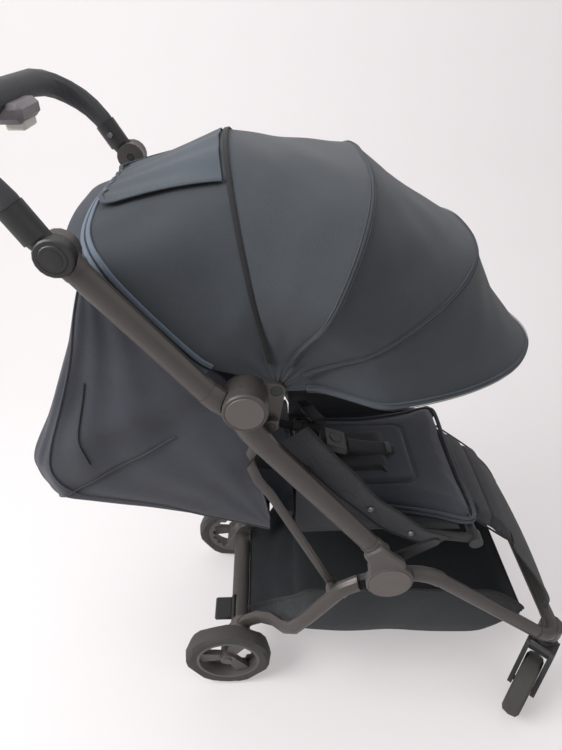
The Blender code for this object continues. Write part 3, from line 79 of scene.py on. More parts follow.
# Canopy hoops as turn, reach, half width and roundness, round one pivot
CANOPY_PIVOT = (0.095, 0.735)
HOOPS = {
    "canopy_bow_1": (102.4, 0.266, 0.188, 0.97),
    "canopy_bow_2": (64.5, 0.257, 0.222, 0.65),
    "canopy_bow_3": (28.7, 0.293, 0.200, 0.76),
    "canopy_front_bow": (-2.6, 0.371, 0.216, 1.00),
}
HOOP_TAB_LENGTH = 0.052
HOOP_TAB_Y = 0.1690
HOOP_WIDENS_FROM, HOOP_WIDENS_OVER = 0.046, 0.095
CLOTH_FOOT = 0.012
REAR_EDGE = [
    (0.085, 0.169, 0.742), (0.050, 0.171, 0.757), (0.0160, 0.1745, 0.7700), (-0.0010, 0.1780, 0.7860),
    (-0.0400, 0.1790, 0.8330), (-0.0740, 0.1780, 0.8770), (-0.0910, 0.1680, 0.8970),
    (-0.1080, 0.1400, 0.9080), (-0.1160, 0.1100, 0.9180), (-0.1175, 0.0580, 0.9280), (-0.1160, 0.0, 0.9310),
]
CANOPY_ACROSS = 97
CANOPY_ALONG = 25

# How far each panel sags, and how far its cloth stands out from the wires
PANEL_SAG = (0.002, 0.002, 0.005, 0.011)
WIRE_CLEAR = 0.0030
CHANNEL_LIFT, SEAM_LIFT = 0.0008, 0.0002
BRIM_GROWTH = 1.25
TAPE_LIFT, TAPE_THICK = 0.0044, 0.0016

# Rear flap: half width at its rear and its front, corner radius, lift over the cloth, and its hem's section
FLAP_HALF = (0.084, 0.097)
FLAP_CORNER = 0.024
FLAP_LIFT = 0.0034
FLAP_HEM = (0.0060, 0.0026)
FLAP_CURL, FLAP_WAVE = 0.0046, 0.0010

# Points (x, z) that the bands face away from, and one on the side to which a positive shift goes
BAND_LOW, BAND_MIDDLE, BAND_AHEAD = (-0.07, 0.80), (-0.02, 0.80), (0.03, 0.93)

# Bands along the canopy's rear edge as name, shift, width, finish, lift and the point that they face away from
BANDS = (
    ("canopy_band_dark", -0.0180, 0.0280, "band_dark", -0.0010, BAND_LOW),
    ("canopy_band_outer", -0.0058, 0.0070, "band_light", 0.0014, BAND_MIDDLE),
    ("canopy_zip", -0.0012, 0.0026, "webbing", 0.0018, BAND_MIDDLE),
    ("canopy_band_inner", 0.0034, 0.0066, "band_light", 0.0018, BAND_MIDDLE),
)
BAND_THICK = 0.0022

# Rear bag: its back and its rim as (x, z), and its section as shares of the width and of the depth
SACK_HALF = 0.1662
SACK_BACK = [
    (-0.112, 0.902), (-0.134, 0.850), (-0.160, 0.780), (-0.200, 0.690), (-0.238, 0.612), (-0.244, 0.575),
    (-0.230, 0.538), (-0.195, 0.521), (-0.080, 0.499), (0.000, 0.482), (0.084, 0.462),
]
SACK_RIM = [
    (-0.098, 0.884), (-0.080, 0.864), (-0.054, 0.836), (-0.022, 0.800), (0.010, 0.767), (0.034, 0.742),
    (0.041, 0.714), (0.048, 0.684), (0.058, 0.640), (0.070, 0.575), (0.084, 0.490),
]
SACK_SECTION = [(1.0, 0.0), (1.0, 0.45), (0.985, 0.86), (0.90, 0.985), (0.72, 1.0), (0.0, 1.0)]
SACK_SEAM_RADIUS = 0.0011
SACK_SEAM_LIFT, SACK_SLIT_LIFT = 0.0014, 0.0010

# Basket from rear to front, as x, half width, hem height, floor height and half width of the floor
BASKET = [
    (0.0404, 0.0955, 0.1480, 0.1080, 0.075), (0.0900, 0.1080, 0.1900, 0.1120, 0.085),
    (0.1300, 0.1450, 0.2600, 0.1250, 0.110), (0.1600, 0.1630, 0.3020, 0.1450, 0.135),
    (0.2600, 0.1630, 0.3020, 0.1450, 0.140), (0.3600, 0.1630, 0.2950, 0.1380, 0.140),
    (0.4600, 0.1630, 0.2850, 0.1340, 0.140), (0.5100, 0.1600, 0.2500, 0.1500, 0.130),
    (0.5330, 0.1550, 0.2250, 0.1700, 0.125), (0.5380, 0.1530, 0.2150, 0.2130, 0.120),
]
HEM_THICK, SIDE_HEM, END_HEM = 0.0034, 0.0120, 0.0060

# Seat: its sling, the pad's outline and its levels as (height, inset), and the raised panels on it
SEAT_TUBE_ROUTE = [(0.118, 0.612), (0.282, 0.4615), (0.302, 0.4465), (0.328, 0.4380), (0.409, 0.423)]
SEAT_BASE_Z = 0.4330
SLING_HALF = 0.1472
SLING_REAR_X, SLING_RUN = 0.124, 0.262
SLING_SECTIONS = 6
SLING_THICK = 0.0022
SEAT_OUTLINE = [
    (0.136, 0.060), (0.136, 0.108), (0.150, 0.112), (0.210, 0.109), (0.271, 0.110), (0.343, 0.124),
    (0.386, 0.138), (0.404, 0.139), (0.412, 0.128), (0.412, 0.090), (0.409, 0.040),
]
SEAT_LEVELS = [
    (0.4370, 0.014), (0.4385, 0.004), (0.4460, 0.0), (0.4530, 0.001), (0.4580, 0.005), (0.4600, 0.014),
]
SEAT_PIPING = (("upper", 0.4508, 0.0006), ("lower", 0.4428, 0.0016))
PIPING_SECTION = (0.0052, 0.0056)
PANEL_REAR, PANEL_FRONT, PANEL_HALF = 0.150, 0.331, 0.0725
PANEL_CORNER = 0.016
PANEL_RISE, PANEL_GROOVE, PANEL_GROOVE_WIDTH = 0.0040, 0.0034, 0.0040
PANEL_ROUNDNESS = 0.28
PANEL_EDGE = 0.008
PAD_MIDDLE_Z = 0.45
PAD_TOP_FROM, PAD_TOP_OVER = 0.452, 0.006
CROTCH_OUTLINE = [
    (0.172, 0.030), (0.172, 0.056), (0.178, 0.0595), (0.230, 0.0600), (0.288, 0.0600), (0.2955, 0.056),
    (0.2970, 0.030),
]
CROTCH_LEVELS = [(0.4600, 0.004), (0.4630, 0.0), (0.4665, 0.0005), (0.4690, 0.003), (0.4700, 0.008)]

# Backrest and calf rest, by their pivots, tilts and seams
BACK_PIVOT = (0.118, 0.462)
BACK_TILT = math.radians(166)
BACK_SEAMS = (0.115, 0.225)
BACK_SEAM_HALF = 0.115
BACK_SEAM_DEPTH, BACK_SEAM_WIDTH = 0.0050, 0.0042
CALF_PIVOT = (0.409, 0.423)
CALF_TILT = math.radians(-38)
CALF_BEND, CALF_BEND_HALF = 0.062, 0.105
CALF_BEND_DEPTH, CALF_BEND_WIDTH = 0.0030, 0.0040
CALF_OUTLINE = [(0.004, 0.116), (0.100, 0.117), (0.119, 0.104), (0.122, 0.0)]
CALF_PIPING_LIFT = 0.006

# Front net panel as x, z and half width
FRONT_LINE = [
    (0.5080, 0.3440, 0.118), (0.5330, 0.3150, 0.130), (0.5560, 0.2860, 0.140),
    (0.5760, 0.2560, 0.145), (0.5860, 0.2340, 0.146), (0.5850, 0.2128, 0.146),
]
FRONT_BULGE, FRONT_BULGE_ABOVE = 0.006, 0.22
NET_THICK = 0.0014
NET_EDGE_WIDTH = 0.0090

# Harness routes: the crotch strap in the middle, and the hip and shoulder straps on the left side
CROTCH_ROUTE = [(0.291, 0, 0.4725), (0.268, 0, 0.4740), (0.243, 0, 0.4785), (0.2215, 0, 0.4840)]
TONGUE_ROUTE = [(0.316, 0, 0.4620), (0.303, 0, 0.4695), (0.285, 0, 0.4725)]
ADJUSTER_ROUTE = [(0.2990, 0, 0.4737), (0.2890, 0, 0.4759)]
HIP_ROUTE = [(0.150, 0.138, 0.4740), (0.165, 0.105, 0.4740), (0.178, 0.070, 0.4800), (0.190, 0.034, 0.4900)]
SHOULDER_ROUTE = [
    (-0.098, 0.062, 0.5385), (-0.030, 0.066, 0.5240), (0.050, 0.062, 0.5040),
    (0.110, 0.050, 0.4930), (0.165, 0.034, 0.4930), (0.186, 0.020, 0.4960),
]
PAD_THICK, SHOULDER_PAD_THICK = 0.0085, 0.0095
CROTCH_PAD_WIDTH = 0.036
ADJUSTER_SECTION = (0.030, 0.0046)
SLIDE_THICK = 0.0060

# Side strips between the rails and the seat as (x, z), with their snaps
SIDE_STRIP = [(0.116, 0.657), (0.175, 0.585), (0.233, 0.516), (0.300, 0.459), (0.352, 0.4330)]
SIDE_STRIP_Y = 0.1705
SIDE_STRIP_THICK = 0.0018
STRIP_HALF_TOP, STRIP_NARROWING = 0.024, 0.008
STRIP_SLANT = (0.74, 0.67)
STRIP_OUT, STRIP_RIPPLE, STRIP_WAVE = 0.0015, 0.0016, 0.0010
STRIP_HEM = (0.0040, 0.0030)
SIDE_SNAPS = ((0.233, 0.513), (0.300, 0.457))
SIDE_SNAP_Y = 0.1722

# Turned fittings as (radius, out)
SNAP = [
    (0.0, -0.0008), (0.0048, -0.0008), (0.0048, 0.0008), (0.004128, 0.0016), (0.003168, 0.0010),
    (0.002784, 0.0006), (0.001632, 0.0011), (0.0, 0.0013),
]
SCREW = [
    (0.0, -0.0006), (0.0042, -0.0006), (0.0042, 0.0004), (0.0036, 0.0012), (0.0016, 0.0012),
    (0.0014, 0.0006), (0.0, 0.0006),
]
SCREW_PLACE = (-0.1490, 0.1797, 0.9565)
PIVOT_CAP = [(0.0, -0.0003), (0.0098, -0.0003), (0.0098, 0.0004), (0.0090, 0.0006), (0.0, 0.0006)]

# Cloth simulation of the padding
PRESSURE = 4.0
COVER_MASS = 0.2
SWELL_FRAMES = 20

# Camera of the photograph
CAMERA_PLACE = (0.085, -0.722, 1.144)
CAMERA_DOWN = math.radians(35.15)
CAMERA_TURN = math.radians(1.6)
CAMERA_ROLL = math.radians(0.1)
CAMERA_LENS = 26.664
SENSOR_HEIGHT = 36.0

# Stage: the floor's section as (y, z), and lamps as name, place, size, power and tint
FLOOR_HALF = 7.0
FLOOR_DROP = 0.0002
FLOOR_SECTION = [
    (-6.0, 0.0), (0.75, 0.0), (1.0, 0.02), (1.25, 0.10), (1.45, 0.26), (1.6, 0.55), (1.65, 1.0), (1.65, 5.0),
]
FLOOR_GLOW = 0.45
LAMPS = (
    ("window", (-1.8, -0.7, 2.2), 1.5, 74.0, (1.0, 0.99, 0.98)),
    ("overhead", (-0.3, 0.1, 2.6), 1.8, 22.0, (0.98, 0.99, 1.0)),
    ("fill", (1.7, -1.4, 1.4), 1.4, 5.0, (1.0, 1.0, 1.0)),
)
LAMP_AIM = (0.0, 0.0, 0.5)
SKY = (0.96, 0.95, 0.94, 1.0)
SKY_STRENGTH = 0.50


def linear(value):
    """An sRGB channel from 0 to 255 as a linear one."""
    value /= 255
    return value / 12.92 if value <= 0.04045 else ((value + 0.055) / 1.055) ** 2.4


def colour(name, description, channels):
    """A colour property whose default is given as sRGB."""
    default = [linear(channel) for channel in channels]
    return FloatVectorProperty(
        name=name, description=description, subtype="COLOR", size=3, min=0, max=1, default=default
    )


def length(name, description, default):
    return FloatProperty(
        name=name, description=description, default=default, min=0, subtype="DISTANCE", unit="LENGTH"
    )


class StrollerSizes(bpy.types.PropertyGroup):
    """Sizes of the soft pieces and the trim."""

    cloth: length("Cloth", "Thickness of the canopy cloth", 0.0010)
    bag_cloth: length("Bag cloth", "Thickness of the rear bag and the basket", 0.0016)
    channel: length("Bow channel", "Radius of the sewn channel over each canopy bow", 0.0032)
    tape: length("Tape", "Width of the stitched tape over the rear bow", 0.0060)
    piping: length("Piping", "Radius of the piping along hems", 0.0016)
    stitch: length("Stitch", "Radius of a visible seam thread", 0.0005)
    strap_width: length("Strap width", "Width of the harness webbing", 0.021)
    strap_thick: length("Strap thickness", "Thickness of the harness webbing", 0.0022)
    swell: length("Swell", "How far a padded surface may rise under pressure", 0.006)
    voxel: length("Cushion grid", "Size of the grid on which the padding settles", 0.005)
    fold: length("Folds", "Depth of the soft folds in hanging cloth", 0.0042)
    crease: length("Creases", "Depth of the fine creases in stretched cloth", 0.0011)


class StrollerColours(bpy.types.PropertyGroup):
    """Colours of the finishes."""

    canopy: colour("Canopy", "Canopy cloth", (54, 58, 63))
    flap: colour("Flap", "Rear flap over the canopy", (60, 66, 73))
    band_light: colour("Light band", "Light band along the canopy's rear edge", (92, 102, 116))
    band_dark: colour("Dark band", "Darker band outside the light one", (54, 58, 66))
    seat: colour("Seat", "Seat pad and backrest", (62, 65, 74))
    seat_inner: colour("Inner seat", "Inner seat panel", (46, 47, 52))
    calf: colour("Calf rest", "Calf rest and the net's edges", (54, 54, 58))
    sack: colour("Bag", "Rear bag", (56, 58, 66))
    basket: colour("Basket", "Basket cloth", (40, 44, 47))
    net: colour("Net", "Front net panel", (50, 52, 52))
    webbing: colour("Webbing", "Harness webbing and bindings", (27, 27, 29))
    frame: colour("Frame", "Lacquered tubes", (70, 66, 64))
    moulding: colour("Mouldings", "Hubs and housings", (72, 67, 65))
    cap: colour("Caps", "Hub caps and hinge covers", (84, 78, 75))
    black: colour("Black plastic", "Castor forks, knobs and buckles", (35, 35, 37))
    grip: colour("Grip", "Handle grip", (54, 54, 57))
    housing: colour("Release housing", "Housing under the handle", (108, 103, 106))
    button: colour("Release button", "Button under the handle", (200, 198, 188))
    tyre: colour("Tyres", "Foam rubber tyres", (60, 59, 57))
    rim: colour("Rims", "Wheel rims", (76, 71, 70))
    bow: colour("Bows", "Canopy bows", (56, 60, 65))
    metal: colour("Metal", "Snaps and screws", (128, 127, 130))
    floor: colour("Floor", "Floor and backdrop", (228, 224, 225))


def sizes():
    return bpy.context.scene.stroller_sizes


def colours():
    return bpy.context.scene.stroller_colours


# Shader groups

WOVEN, MOULDED = "Woven cloth", "Moulded surface"


def new_group(name, inputs):
    """An empty group that gives colour, roughness and height. Inputs are (name, type, default)."""
    tree = bpy.data.node_groups.new(name, "ShaderNodeTree")
    for label, kind, default in inputs:
        socket = tree.interface.new_socket(name=label, in_out="INPUT", socket_type=kind)
        socket.default_value = default
    for label in ("Colour", "Roughness", "Height"):
        kind = "NodeSocketColor" if label == "Colour" else "NodeSocketFloat"
        tree.interface.new_socket(name=label, in_out="OUTPUT", socket_type=kind)
    given = tree.nodes.new("NodeGroupInput").outputs
    out = tree.nodes.new("NodeGroupOutput").inputs
    return tree, given, out, tree.nodes.new("ShaderNodeTexCoord").outputs["Object"]


def math_node(tree, operation, first, second):
    """A Math node on two links or numbers. Gives its output."""
    node = tree.nodes.new("ShaderNodeMath")
    node.operation = operation
    for socket, value in zip(node.inputs, (first, second)):
        if isinstance(value, (int, float)):
            socket.default_value = value
        else:
            tree.links.new(value, socket)
    return node.outputs[0]


def summed(tree, base, *terms):
    """The base plus, for each term (link, middle, weight), the link less its middle times its weight."""
    for link, middle, weight in terms:
        distance = math_node(tree, "SUBTRACT", link, middle)
        base = math_node(tree, "ADD", base, math_node(tree, "MULTIPLY", distance, weight))
    return base


def noise_node(tree, vector, scale, detail, roughness):
    """A Noise texture, whose scale is a link or a number. Gives its output."""
    node = tree.nodes.new("ShaderNodeTexNoise")
    node.inputs["Detail"].default_value = detail
    node.inputs["Roughness"].default_value = roughness
    tree.links.new(vector, node.inputs["Vector"])
    if isinstance(scale, (int, float)):
        node.inputs["Scale"].default_value = scale
    else:
        tree.links.new(scale, node.inputs["Scale"])
    return node.outputs["Fac"]


def scaled(tree, vector, factor):
    """A colour or a vector multiplied by a varying factor."""
    node = tree.nodes.new("ShaderNodeVectorMath")
    node.operation = "SCALE"
    tree.links.new(vector, node.inputs[0])
    tree.links.new(factor, node.inputs["Scale"])
    return node.outputs[0]


def woven_group():
    """Woven cloth: crossing threads, uneven yarn, and slow changes of shade where it has been handled."""
    tree, given, out, place = new_group(
        WOVEN,
        [("Colour", "NodeSocketColor", (0.1, 0.1, 0.1, 1.0)), ("Thread", "NodeSocketFloat", 0.0011),
         ("Mottle", "NodeSocketFloat", 0.25), ("Roughness", "NodeSocketFloat", 0.85)],
    )
    waves = tree.nodes.new("ShaderNodeVectorMath")
    waves.operation = "SINE"
    pitch = math_node(tree, "DIVIDE", math.tau, given["Thread"])
    tree.links.new(scaled(tree, place, pitch), waves.inputs[0])
    split = tree.nodes.new("ShaderNodeSeparateXYZ")
    tree.links.new(waves.outputs[0], split.inputs[0])
    x, y, z = split.outputs
    lattice = math_node(tree, "MULTIPLY", x, z)
    for first, second in ((y, z), (x, y)):
        lattice = math_node(tree, "ADD", lattice, math_node(tree, "MULTIPLY", first, second))
    yarn = noise_node(tree, place, math_node(tree, "DIVIDE", 0.55, given["Thread"]), 3.0, 0.7)
    shade = noise_node(tree, place, 9.0, 3.0, 0.55)
    worn = noise_node(tree, place, 46.0, 4.0, 0.6)
    mottle = summed(tree, 0.0, (lattice, 0.0, 0.10), (yarn, 0.5, 1.0), (shade, 0.5, 0.9), (worn, 0.5, 0.5))
    factor = summed(tree, 1.0, (mottle, 0.0, given["Mottle"]))
    tree.links.new(scaled(tree, given["Colour"], factor), out["Colour"])
    tree.links.new(summed(tree, given["Roughness"], (mottle, 0.0, 0.10)), out["Roughness"])
    tree.links.new(summed(tree, 0.0, (lattice, 0.0, 0.35), (yarn, 0.0, 0.8)), out["Height"])
    return tree


def moulded_group():
    """Moulded plastic or lacquer: fine grain, slow changes of gloss, patches of dust and pale scuffs."""
    tree, given, out, place = new_group(
        MOULDED,
        [("Colour", "NodeSocketColor", (0.1, 0.1, 0.1, 1.0)), ("Grain", "NodeSocketFloat", 900.0),
         ("Scuffs", "NodeSocketFloat", 0.2), ("Roughness", "NodeSocketFloat", 0.45)],
    )
    grain = noise_node(tree, place, given["Grain"], 2.0, 0.6)
    gloss = noise_node(tree, place, 22.0, 3.0, 0.6)
    dust = noise_node(tree, place, 70.0, 5.0, 0.7)
    marks = noise_node(tree, place, 180.0, 4.0, 0.8)
    scuff = math_node(tree, "MAXIMUM", math_node(tree, "SUBTRACT", marks, 0.60), 0.0)
    scuff = math_node(tree, "MULTIPLY", math_node(tree, "MULTIPLY", scuff, 3.0), given["Scuffs"])
    factor = summed(tree, math_node(tree, "ADD", 1.0, scuff), (dust, 0.5, 0.22), (grain, 0.5, 0.16))
    tree.links.new(scaled(tree, given["Colour"], factor), out["Colour"])
    rough = summed(tree, given["Roughness"], (gloss, 0.5, 0.22))
    tree.links.new(math_node(tree, "ADD", rough, scuff), out["Roughness"])
    tree.links.new(grain, out["Height"])
    return tree


GROUP_MAKERS = {WOVEN: woven_group, MOULDED: moulded_group}
GROUP_VALUES = {WOVEN: ("Thread", "Mottle"), MOULDED: ("Grain", "Scuffs")}

# Finishes by their colour's name: shader group, roughness, bump, sheen, metallic, the group's two values
FINISHES = {
    "canopy": (WOVEN, 0.86, 0.00016, 0.12, 0.0, (0.0011, 0.42)),
    "flap": (WOVEN, 0.86, 0.00016, 0.15, 0.0, (0.0011, 0.40)),
    "band_light": (WOVEN, 0.80, 0.00020, 0.15, 0.0, (0.0013, 0.35)),
    "band_dark": (WOVEN, 0.84, 0.00020, 0.12, 0.0, (0.0013, 0.35)),
    "seat": (WOVEN, 0.88, 0.00030, 0.22, 0.0, (0.0014, 0.42)),
    "seat_inner": (WOVEN, 0.88, 0.00036, 0.18, 0.0, (0.0018, 0.55)),
    "calf": (WOVEN, 0.82, 0.00022, 0.10, 0.0, (0.0012, 0.40)),
    "sack": (WOVEN, 0.88, 0.00022, 0.16, 0.0, (0.0013, 0.50)),
    "basket": (WOVEN, 0.88, 0.00030, 0.10, 0.0, (0.0022, 0.60)),
    "net": (WOVEN, 0.85, 0.00060, 0.08, 0.0, (0.0034, 0.95)),
    "webbing": (WOVEN, 0.80, 0.00030, 0.10, 0.0, (0.0016, 0.45)),
    "frame": (MOULDED, 0.42, 0.00002, 0.0, 0.30, (1500.0, 0.10)),
    "moulding": (MOULDED, 0.50, 0.00005, 0.0, 0.0, (900.0, 0.20)),
    "cap": (MOULDED, 0.46, 0.00004, 0.0, 0.0, (1100.0, 0.25)),
    "black": (MOULDED, 0.48, 0.00005, 0.0, 0.0, (900.0, 0.25)),
    "grip": (MOULDED, 0.74, 0.00016, 0.0, 0.0, (520.0, 0.15)),
    "housing": (MOULDED, 0.52, 0.00004, 0.0, 0.0, (900.0, 0.20)),
    "button": (MOULDED, 0.42, 0.00003, 0.0, 0.0, (900.0, 0.10)),
    "tyre": (MOULDED, 0.88, 0.00025, 0.0, 0.0, (420.0, 0.45)),
    "rim": (MOULDED, 0.50, 0.00005, 0.0, 0.0, (900.0, 0.30)),
    "bow": (MOULDED, 0.45, 0.00003, 0.0, 0.5, (900.0, 0.10)),
    "metal": (MOULDED, 0.30, 0.00002, 0.0, 1.0, (1500.0, 0.10)),
}

# What each carried-over CAD node is made of, by the start of its name
NODE_FINISHES = {
    "upper_rail": "frame", "lower_rail": "frame", "front_leg": "frame", "rear_leg": "frame", "strut": "frame",
    "front_cross_bar": "frame", "rear_axle_bar": "frame", "seat_frame": "black", "hub_cap": "cap",
    "hinge_cover": "cap", "hub_right": "moulding", "hub_left": "moulding", "axle_housing": "moulding",
    "canopy_knob": "black", "canopy_bow": "bow", "canopy_front_bow": "bow", "castor_fork": "black",
    "brake_pedal": "black", "brake_pin": "metal", "pivot_button": "black", "handle_tube": "black",
    "grip": "grip", "release_housing": "housing", "release_button": "button", "rear_tyre": "tyre",
    "front_tyre": "tyre", "rear_rim": "rim", "front_rim": "rim", "buckle_button": "black", "buckle": "black",
}


def finish_of(name):
    """The named material, made on first use."""
    for known in bpy.data.materials:
        if known.get("finish") == name:
            return known
    kind, roughness, bump_depth, sheen, metallic, values = FINISHES[name]
    tone = (*getattr(colours(), name), 1.0)
    made = bpy.data.materials.new(name)
    made["finish"] = name
    made.use_nodes = True
    made.diffuse_color = tone
    tree = made.node_tree
    shader = tree.nodes["Principled BSDF"]
    surface = tree.nodes.new("ShaderNodeGroup")
    surface.node_tree = bpy.data.node_groups.get(kind) or GROUP_MAKERS[kind]()
    surface.inputs["Colour"].default_value = tone
    surface.inputs["Roughness"].default_value = roughness
    for label, value in zip(GROUP_VALUES[kind], values):
        surface.inputs[label].default_value = value
    bump = tree.nodes.new("ShaderNodeBump")
    bump.inputs["Strength"].default_value = 1.0
    bump.inputs["Distance"].default_value = bump_depth
    tree.links.new(surface.outputs["Colour"], shader.inputs["Base Color"])
    tree.links.new(surface.outputs["Roughness"], shader.inputs["Roughness"])
    tree.links.new(surface.outputs["Height"], bump.inputs["Height"])
    tree.links.new(bump.outputs["Normal"], shader.inputs["Normal"])
    shader.inputs["Metallic"].default_value = metallic
    if kind == WOVEN:
        shader.inputs["Sheen Weight"].default_value = sheen
        shader.inputs["Sheen Roughness"].default_value = 0.5
        shader.inputs["Specular IOR Level"].default_value = 0.25
    return made


# Points and grids


def place(x, y, z):
    """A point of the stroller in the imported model's own coordinates."""
    return Vector((x - MIDDLE_X, y, z))


def placed(route, side=1):
    """The points of a route, on the left side for 1 and on the right side for -1."""
    return [place(x, side * y, z) for x, y, z in route]


def mirrored(half):
    """Half a section turned to the right side, then its mirror image. Its last point lies in the middle."""
    return placed(half, -1) + placed(half[-2::-1])


def points_of(points):
    return np.array([tuple(point) for point in points], float)


def smooth(points, count):
    """Points on a smooth curve through the given ones."""
    known = points_of(points)
    ends = np.vstack([2 * known[0] - known[1], known, 2 * known[-1] - known[-2]])
    places = np.linspace(0, len(known) - 1, count)
    index = np.minimum(places.astype(int), len(known) - 2)
    t = (places - index)[:, None]
    a, b, c, d = (ends[index + k] for k in range(4))
    return b + 0.5 * t * (c - a + t * (2 * a - 5 * b + 4 * c - d + t * (3 * (b - c) + d - a)))


def refined(rows, along, across):
    """A coarse grid of points made a fine one by smooth curves both ways."""
    grid = np.array([[tuple(point) for point in row] for row in rows], float)
    grid = smooth(grid.reshape(len(grid), -1), along).reshape(along, -1, 3).transpose(1, 0, 2)
    return smooth(grid.reshape(len(grid), -1), across).reshape(across, along, 3).transpose(1, 0, 2)


def spans(grid):
    """The place of each point of a grid: across it from -1 to 1, and along it from 0 to 1."""
    return np.linspace(-1, 1, grid.shape[1])[None, :], np.linspace(0, 1, grid.shape[0])[:, None]


def normals_of(grid, centre):
    """Unit normals of a grid of points, away from the centre."""
    normals = np.cross(np.gradient(grid, axis=0), np.gradient(grid, axis=1))
    normals /= np.maximum(np.linalg.norm(normals, axis=2, keepdims=True), 1e-9)
    facing = ((grid - np.array(tuple(centre))) * normals).sum()
    return normals if facing > 0 else -normals


def unit_rows(vectors):
    return vectors / np.maximum(np.linalg.norm(vectors, axis=1, keepdims=True), 1e-9)


def around_ring(path):
    """Unit directions along a closed ring of points."""
    return unit_rows(np.roll(path, -1, axis=0) - np.roll(path, 1, axis=0))


def rounded(turn, half_width, half_height, power):
    """A point of a rounded rectangle at a turn. It is an ellipse at power 1."""
    c, d = math.cos(turn), math.sin(turn)
    return math.copysign(abs(c) ** power, c) * half_width, math.copysign(abs(d) ** power, d) * half_height


def ring_points(outline, inset, z):
    """A closed ring of points round half an outline and its mirror image, drawn in by the inset."""
    half = [(x, -y, 0.0) for x, y in outline]
    route = smooth(half + [(x, y, 0.0) for x, y in outline[::-1]], 120)
    ahead = around_ring(route)
    inward = np.stack([-ahead[:, 1], ahead[:, 0], np.zeros(len(route))], axis=1)
    return route + inward * inset + np.array([-MIDDLE_X, 0.0, z])


# Shapes


def new_object(name, shape):
    """A smooth-shaded object from a bmesh."""
    bmesh.ops.recalc_face_normals(shape, faces=shape.faces)
    mesh = bpy.data.meshes.new(name)
    shape.to_mesh(mesh)
    shape.free()
    mesh.shade_smooth()
    mesh.set_sharp_from_angle(angle=math.radians(50))
    obj = bpy.data.objects.new(name, mesh)
    bpy.context.scene.collection.objects.link(obj)
    return obj


def cloth(name, grid, thickness):
    """Cloth through a grid of points, with its thickness."""
    shape = bmesh.new()
    verts = [[shape.verts.new(point) for point in row] for row in grid.tolist()]
    for low, high in zip(verts, verts[1:]):
        for k in range(len(low) - 1):
            shape.faces.new((low[k], low[k + 1], high[k + 1], high[k]))
    bmesh.ops.recalc_face_normals(shape, faces=shape.faces)
    bmesh.ops.solidify(shape, geom=shape.faces[:], thickness=thickness)
    return new_object(name, shape)


def joined_rings(name, shape, rings, closed=False):
    """An object from rings of vertices: a closed loop of them, or a stack with flat ends."""
    count = len(rings[0])
    for low, high in list(zip(rings, rings[1:])) + ([(rings[-1], rings[0])] if closed else []):
        for k in range(count):
            shape.faces.new((low[k], low[(k + 1) % count], high[(k + 1) % count], high[k]))
    if not closed:
        shape.faces.new(rings[0])
        shape.faces.new(rings[-1][::-1])
    return new_object(name, shape)


def strip(name, points, width, height, up, sides=10, power=2.0, closed=False):
    """A tube or a flat strap along points. Its height lies along up: one direction, or one for each point."""
    path = points_of(points)
    ahead = around_ring(path) if closed else unit_rows(np.gradient(path, axis=0))
    ups = np.broadcast_to(points_of(up) if np.ndim(up) == 2 else np.array(tuple(up), float), path.shape)
    across = unit_rows(np.cross(ahead, ups))
    lift = unit_rows(np.cross(across, ahead))
    section = [rounded(math.tau * (k + 0.5) / sides, width / 2, height / 2, 2 / power) for k in range(sides)]
    shape = bmesh.new()
    rings = [[shape.verts.new(middle + side * run + rise * climb) for run, climb in section]
             for middle, side, rise in zip(path, across, lift)]
    return joined_rings(name, shape, rings, closed)


def pad_shape(name, outline, levels):
    """A closed pad from rings at given heights, each drawn in by its inset."""
    shape = bmesh.new()
    rings = [[shape.verts.new(point) for point in ring_points(outline, inset, z)] for z, inset in levels]
    return joined_rings(name, shape, rings)


def turned(name, centre, axis, profile, sides=20):
    """A (radius, out) profile turned about an axis through the centre. It starts and ends on the axis."""
    spin = Matrix.Translation(centre) @ Vector(axis).to_track_quat("Z", "Y").to_matrix().to_4x4()
    turns = [math.tau * k / sides for k in range(sides)]
    shape = bmesh.new()
    rings = []
    for radius, out in profile:
        circle = [Vector((radius * math.cos(t), radius * math.sin(t), out)) for t in turns]
        rings.append([shape.verts.new(spin @ point) for point in (circle if radius else circle[:1])])
    for low, high in zip(rings, rings[1:]):
        for k in range(sides):
            around = ((low, k), (low, k + 1), (high, k + 1), (high, k))
            corners = [ring[step % len(ring)] for ring, step in around]
            shape.faces.new(list(dict.fromkeys(corners)))
    return new_object(name, shape)


def cad_copy(name, node):
    """A piece with the shape of a CAD node, which it then stands for."""
    shape = bmesh.new()
    shape.from_mesh(frame["nodes"][node].data)
    bmesh.ops.remove_doubles(shape, verts=shape.verts, dist=1e-6)
    obj = new_object(name, shape)
    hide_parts(node)
    return obj


# Dressed pieces


def dress(obj, body, finish):
    """Gives a piece its material and its body."""
    obj.data.materials.clear()
    obj.data.materials.append(finish_of(finish))
    if body:
        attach(obj, body)
    return obj


def trim(name, points, width, height, up, body, finish, slot, **form):
    """A dressed strip."""
    return dress(strip(name, points, width, height, up, **form), body, finish)


def stuffed(obj, body, finish):
    """A dressed padded piece."""
    dress(obj, body, finish)
    return obj


def sheet(name, grid, thickness, body, finish, stands_for=None):
    """Dressed cloth, which hides the CAD node that it stands for, if one is given."""
    obj = dress(cloth(name, grid, thickness), body, finish)
    if stands_for:
        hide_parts(stands_for)
    return obj


# Padding


def coordinates(mesh, kind="co"):
    """The vertices' coordinates, or their normals."""
    flat = np.zeros(len(mesh.vertices) * 3)
    mesh.vertices.foreach_get(kind, flat)
    return flat.reshape(-1, 3)


def set_coordinates(mesh, points):
    mesh.vertices.foreach_set("co", points.ravel())
    mesh.update()


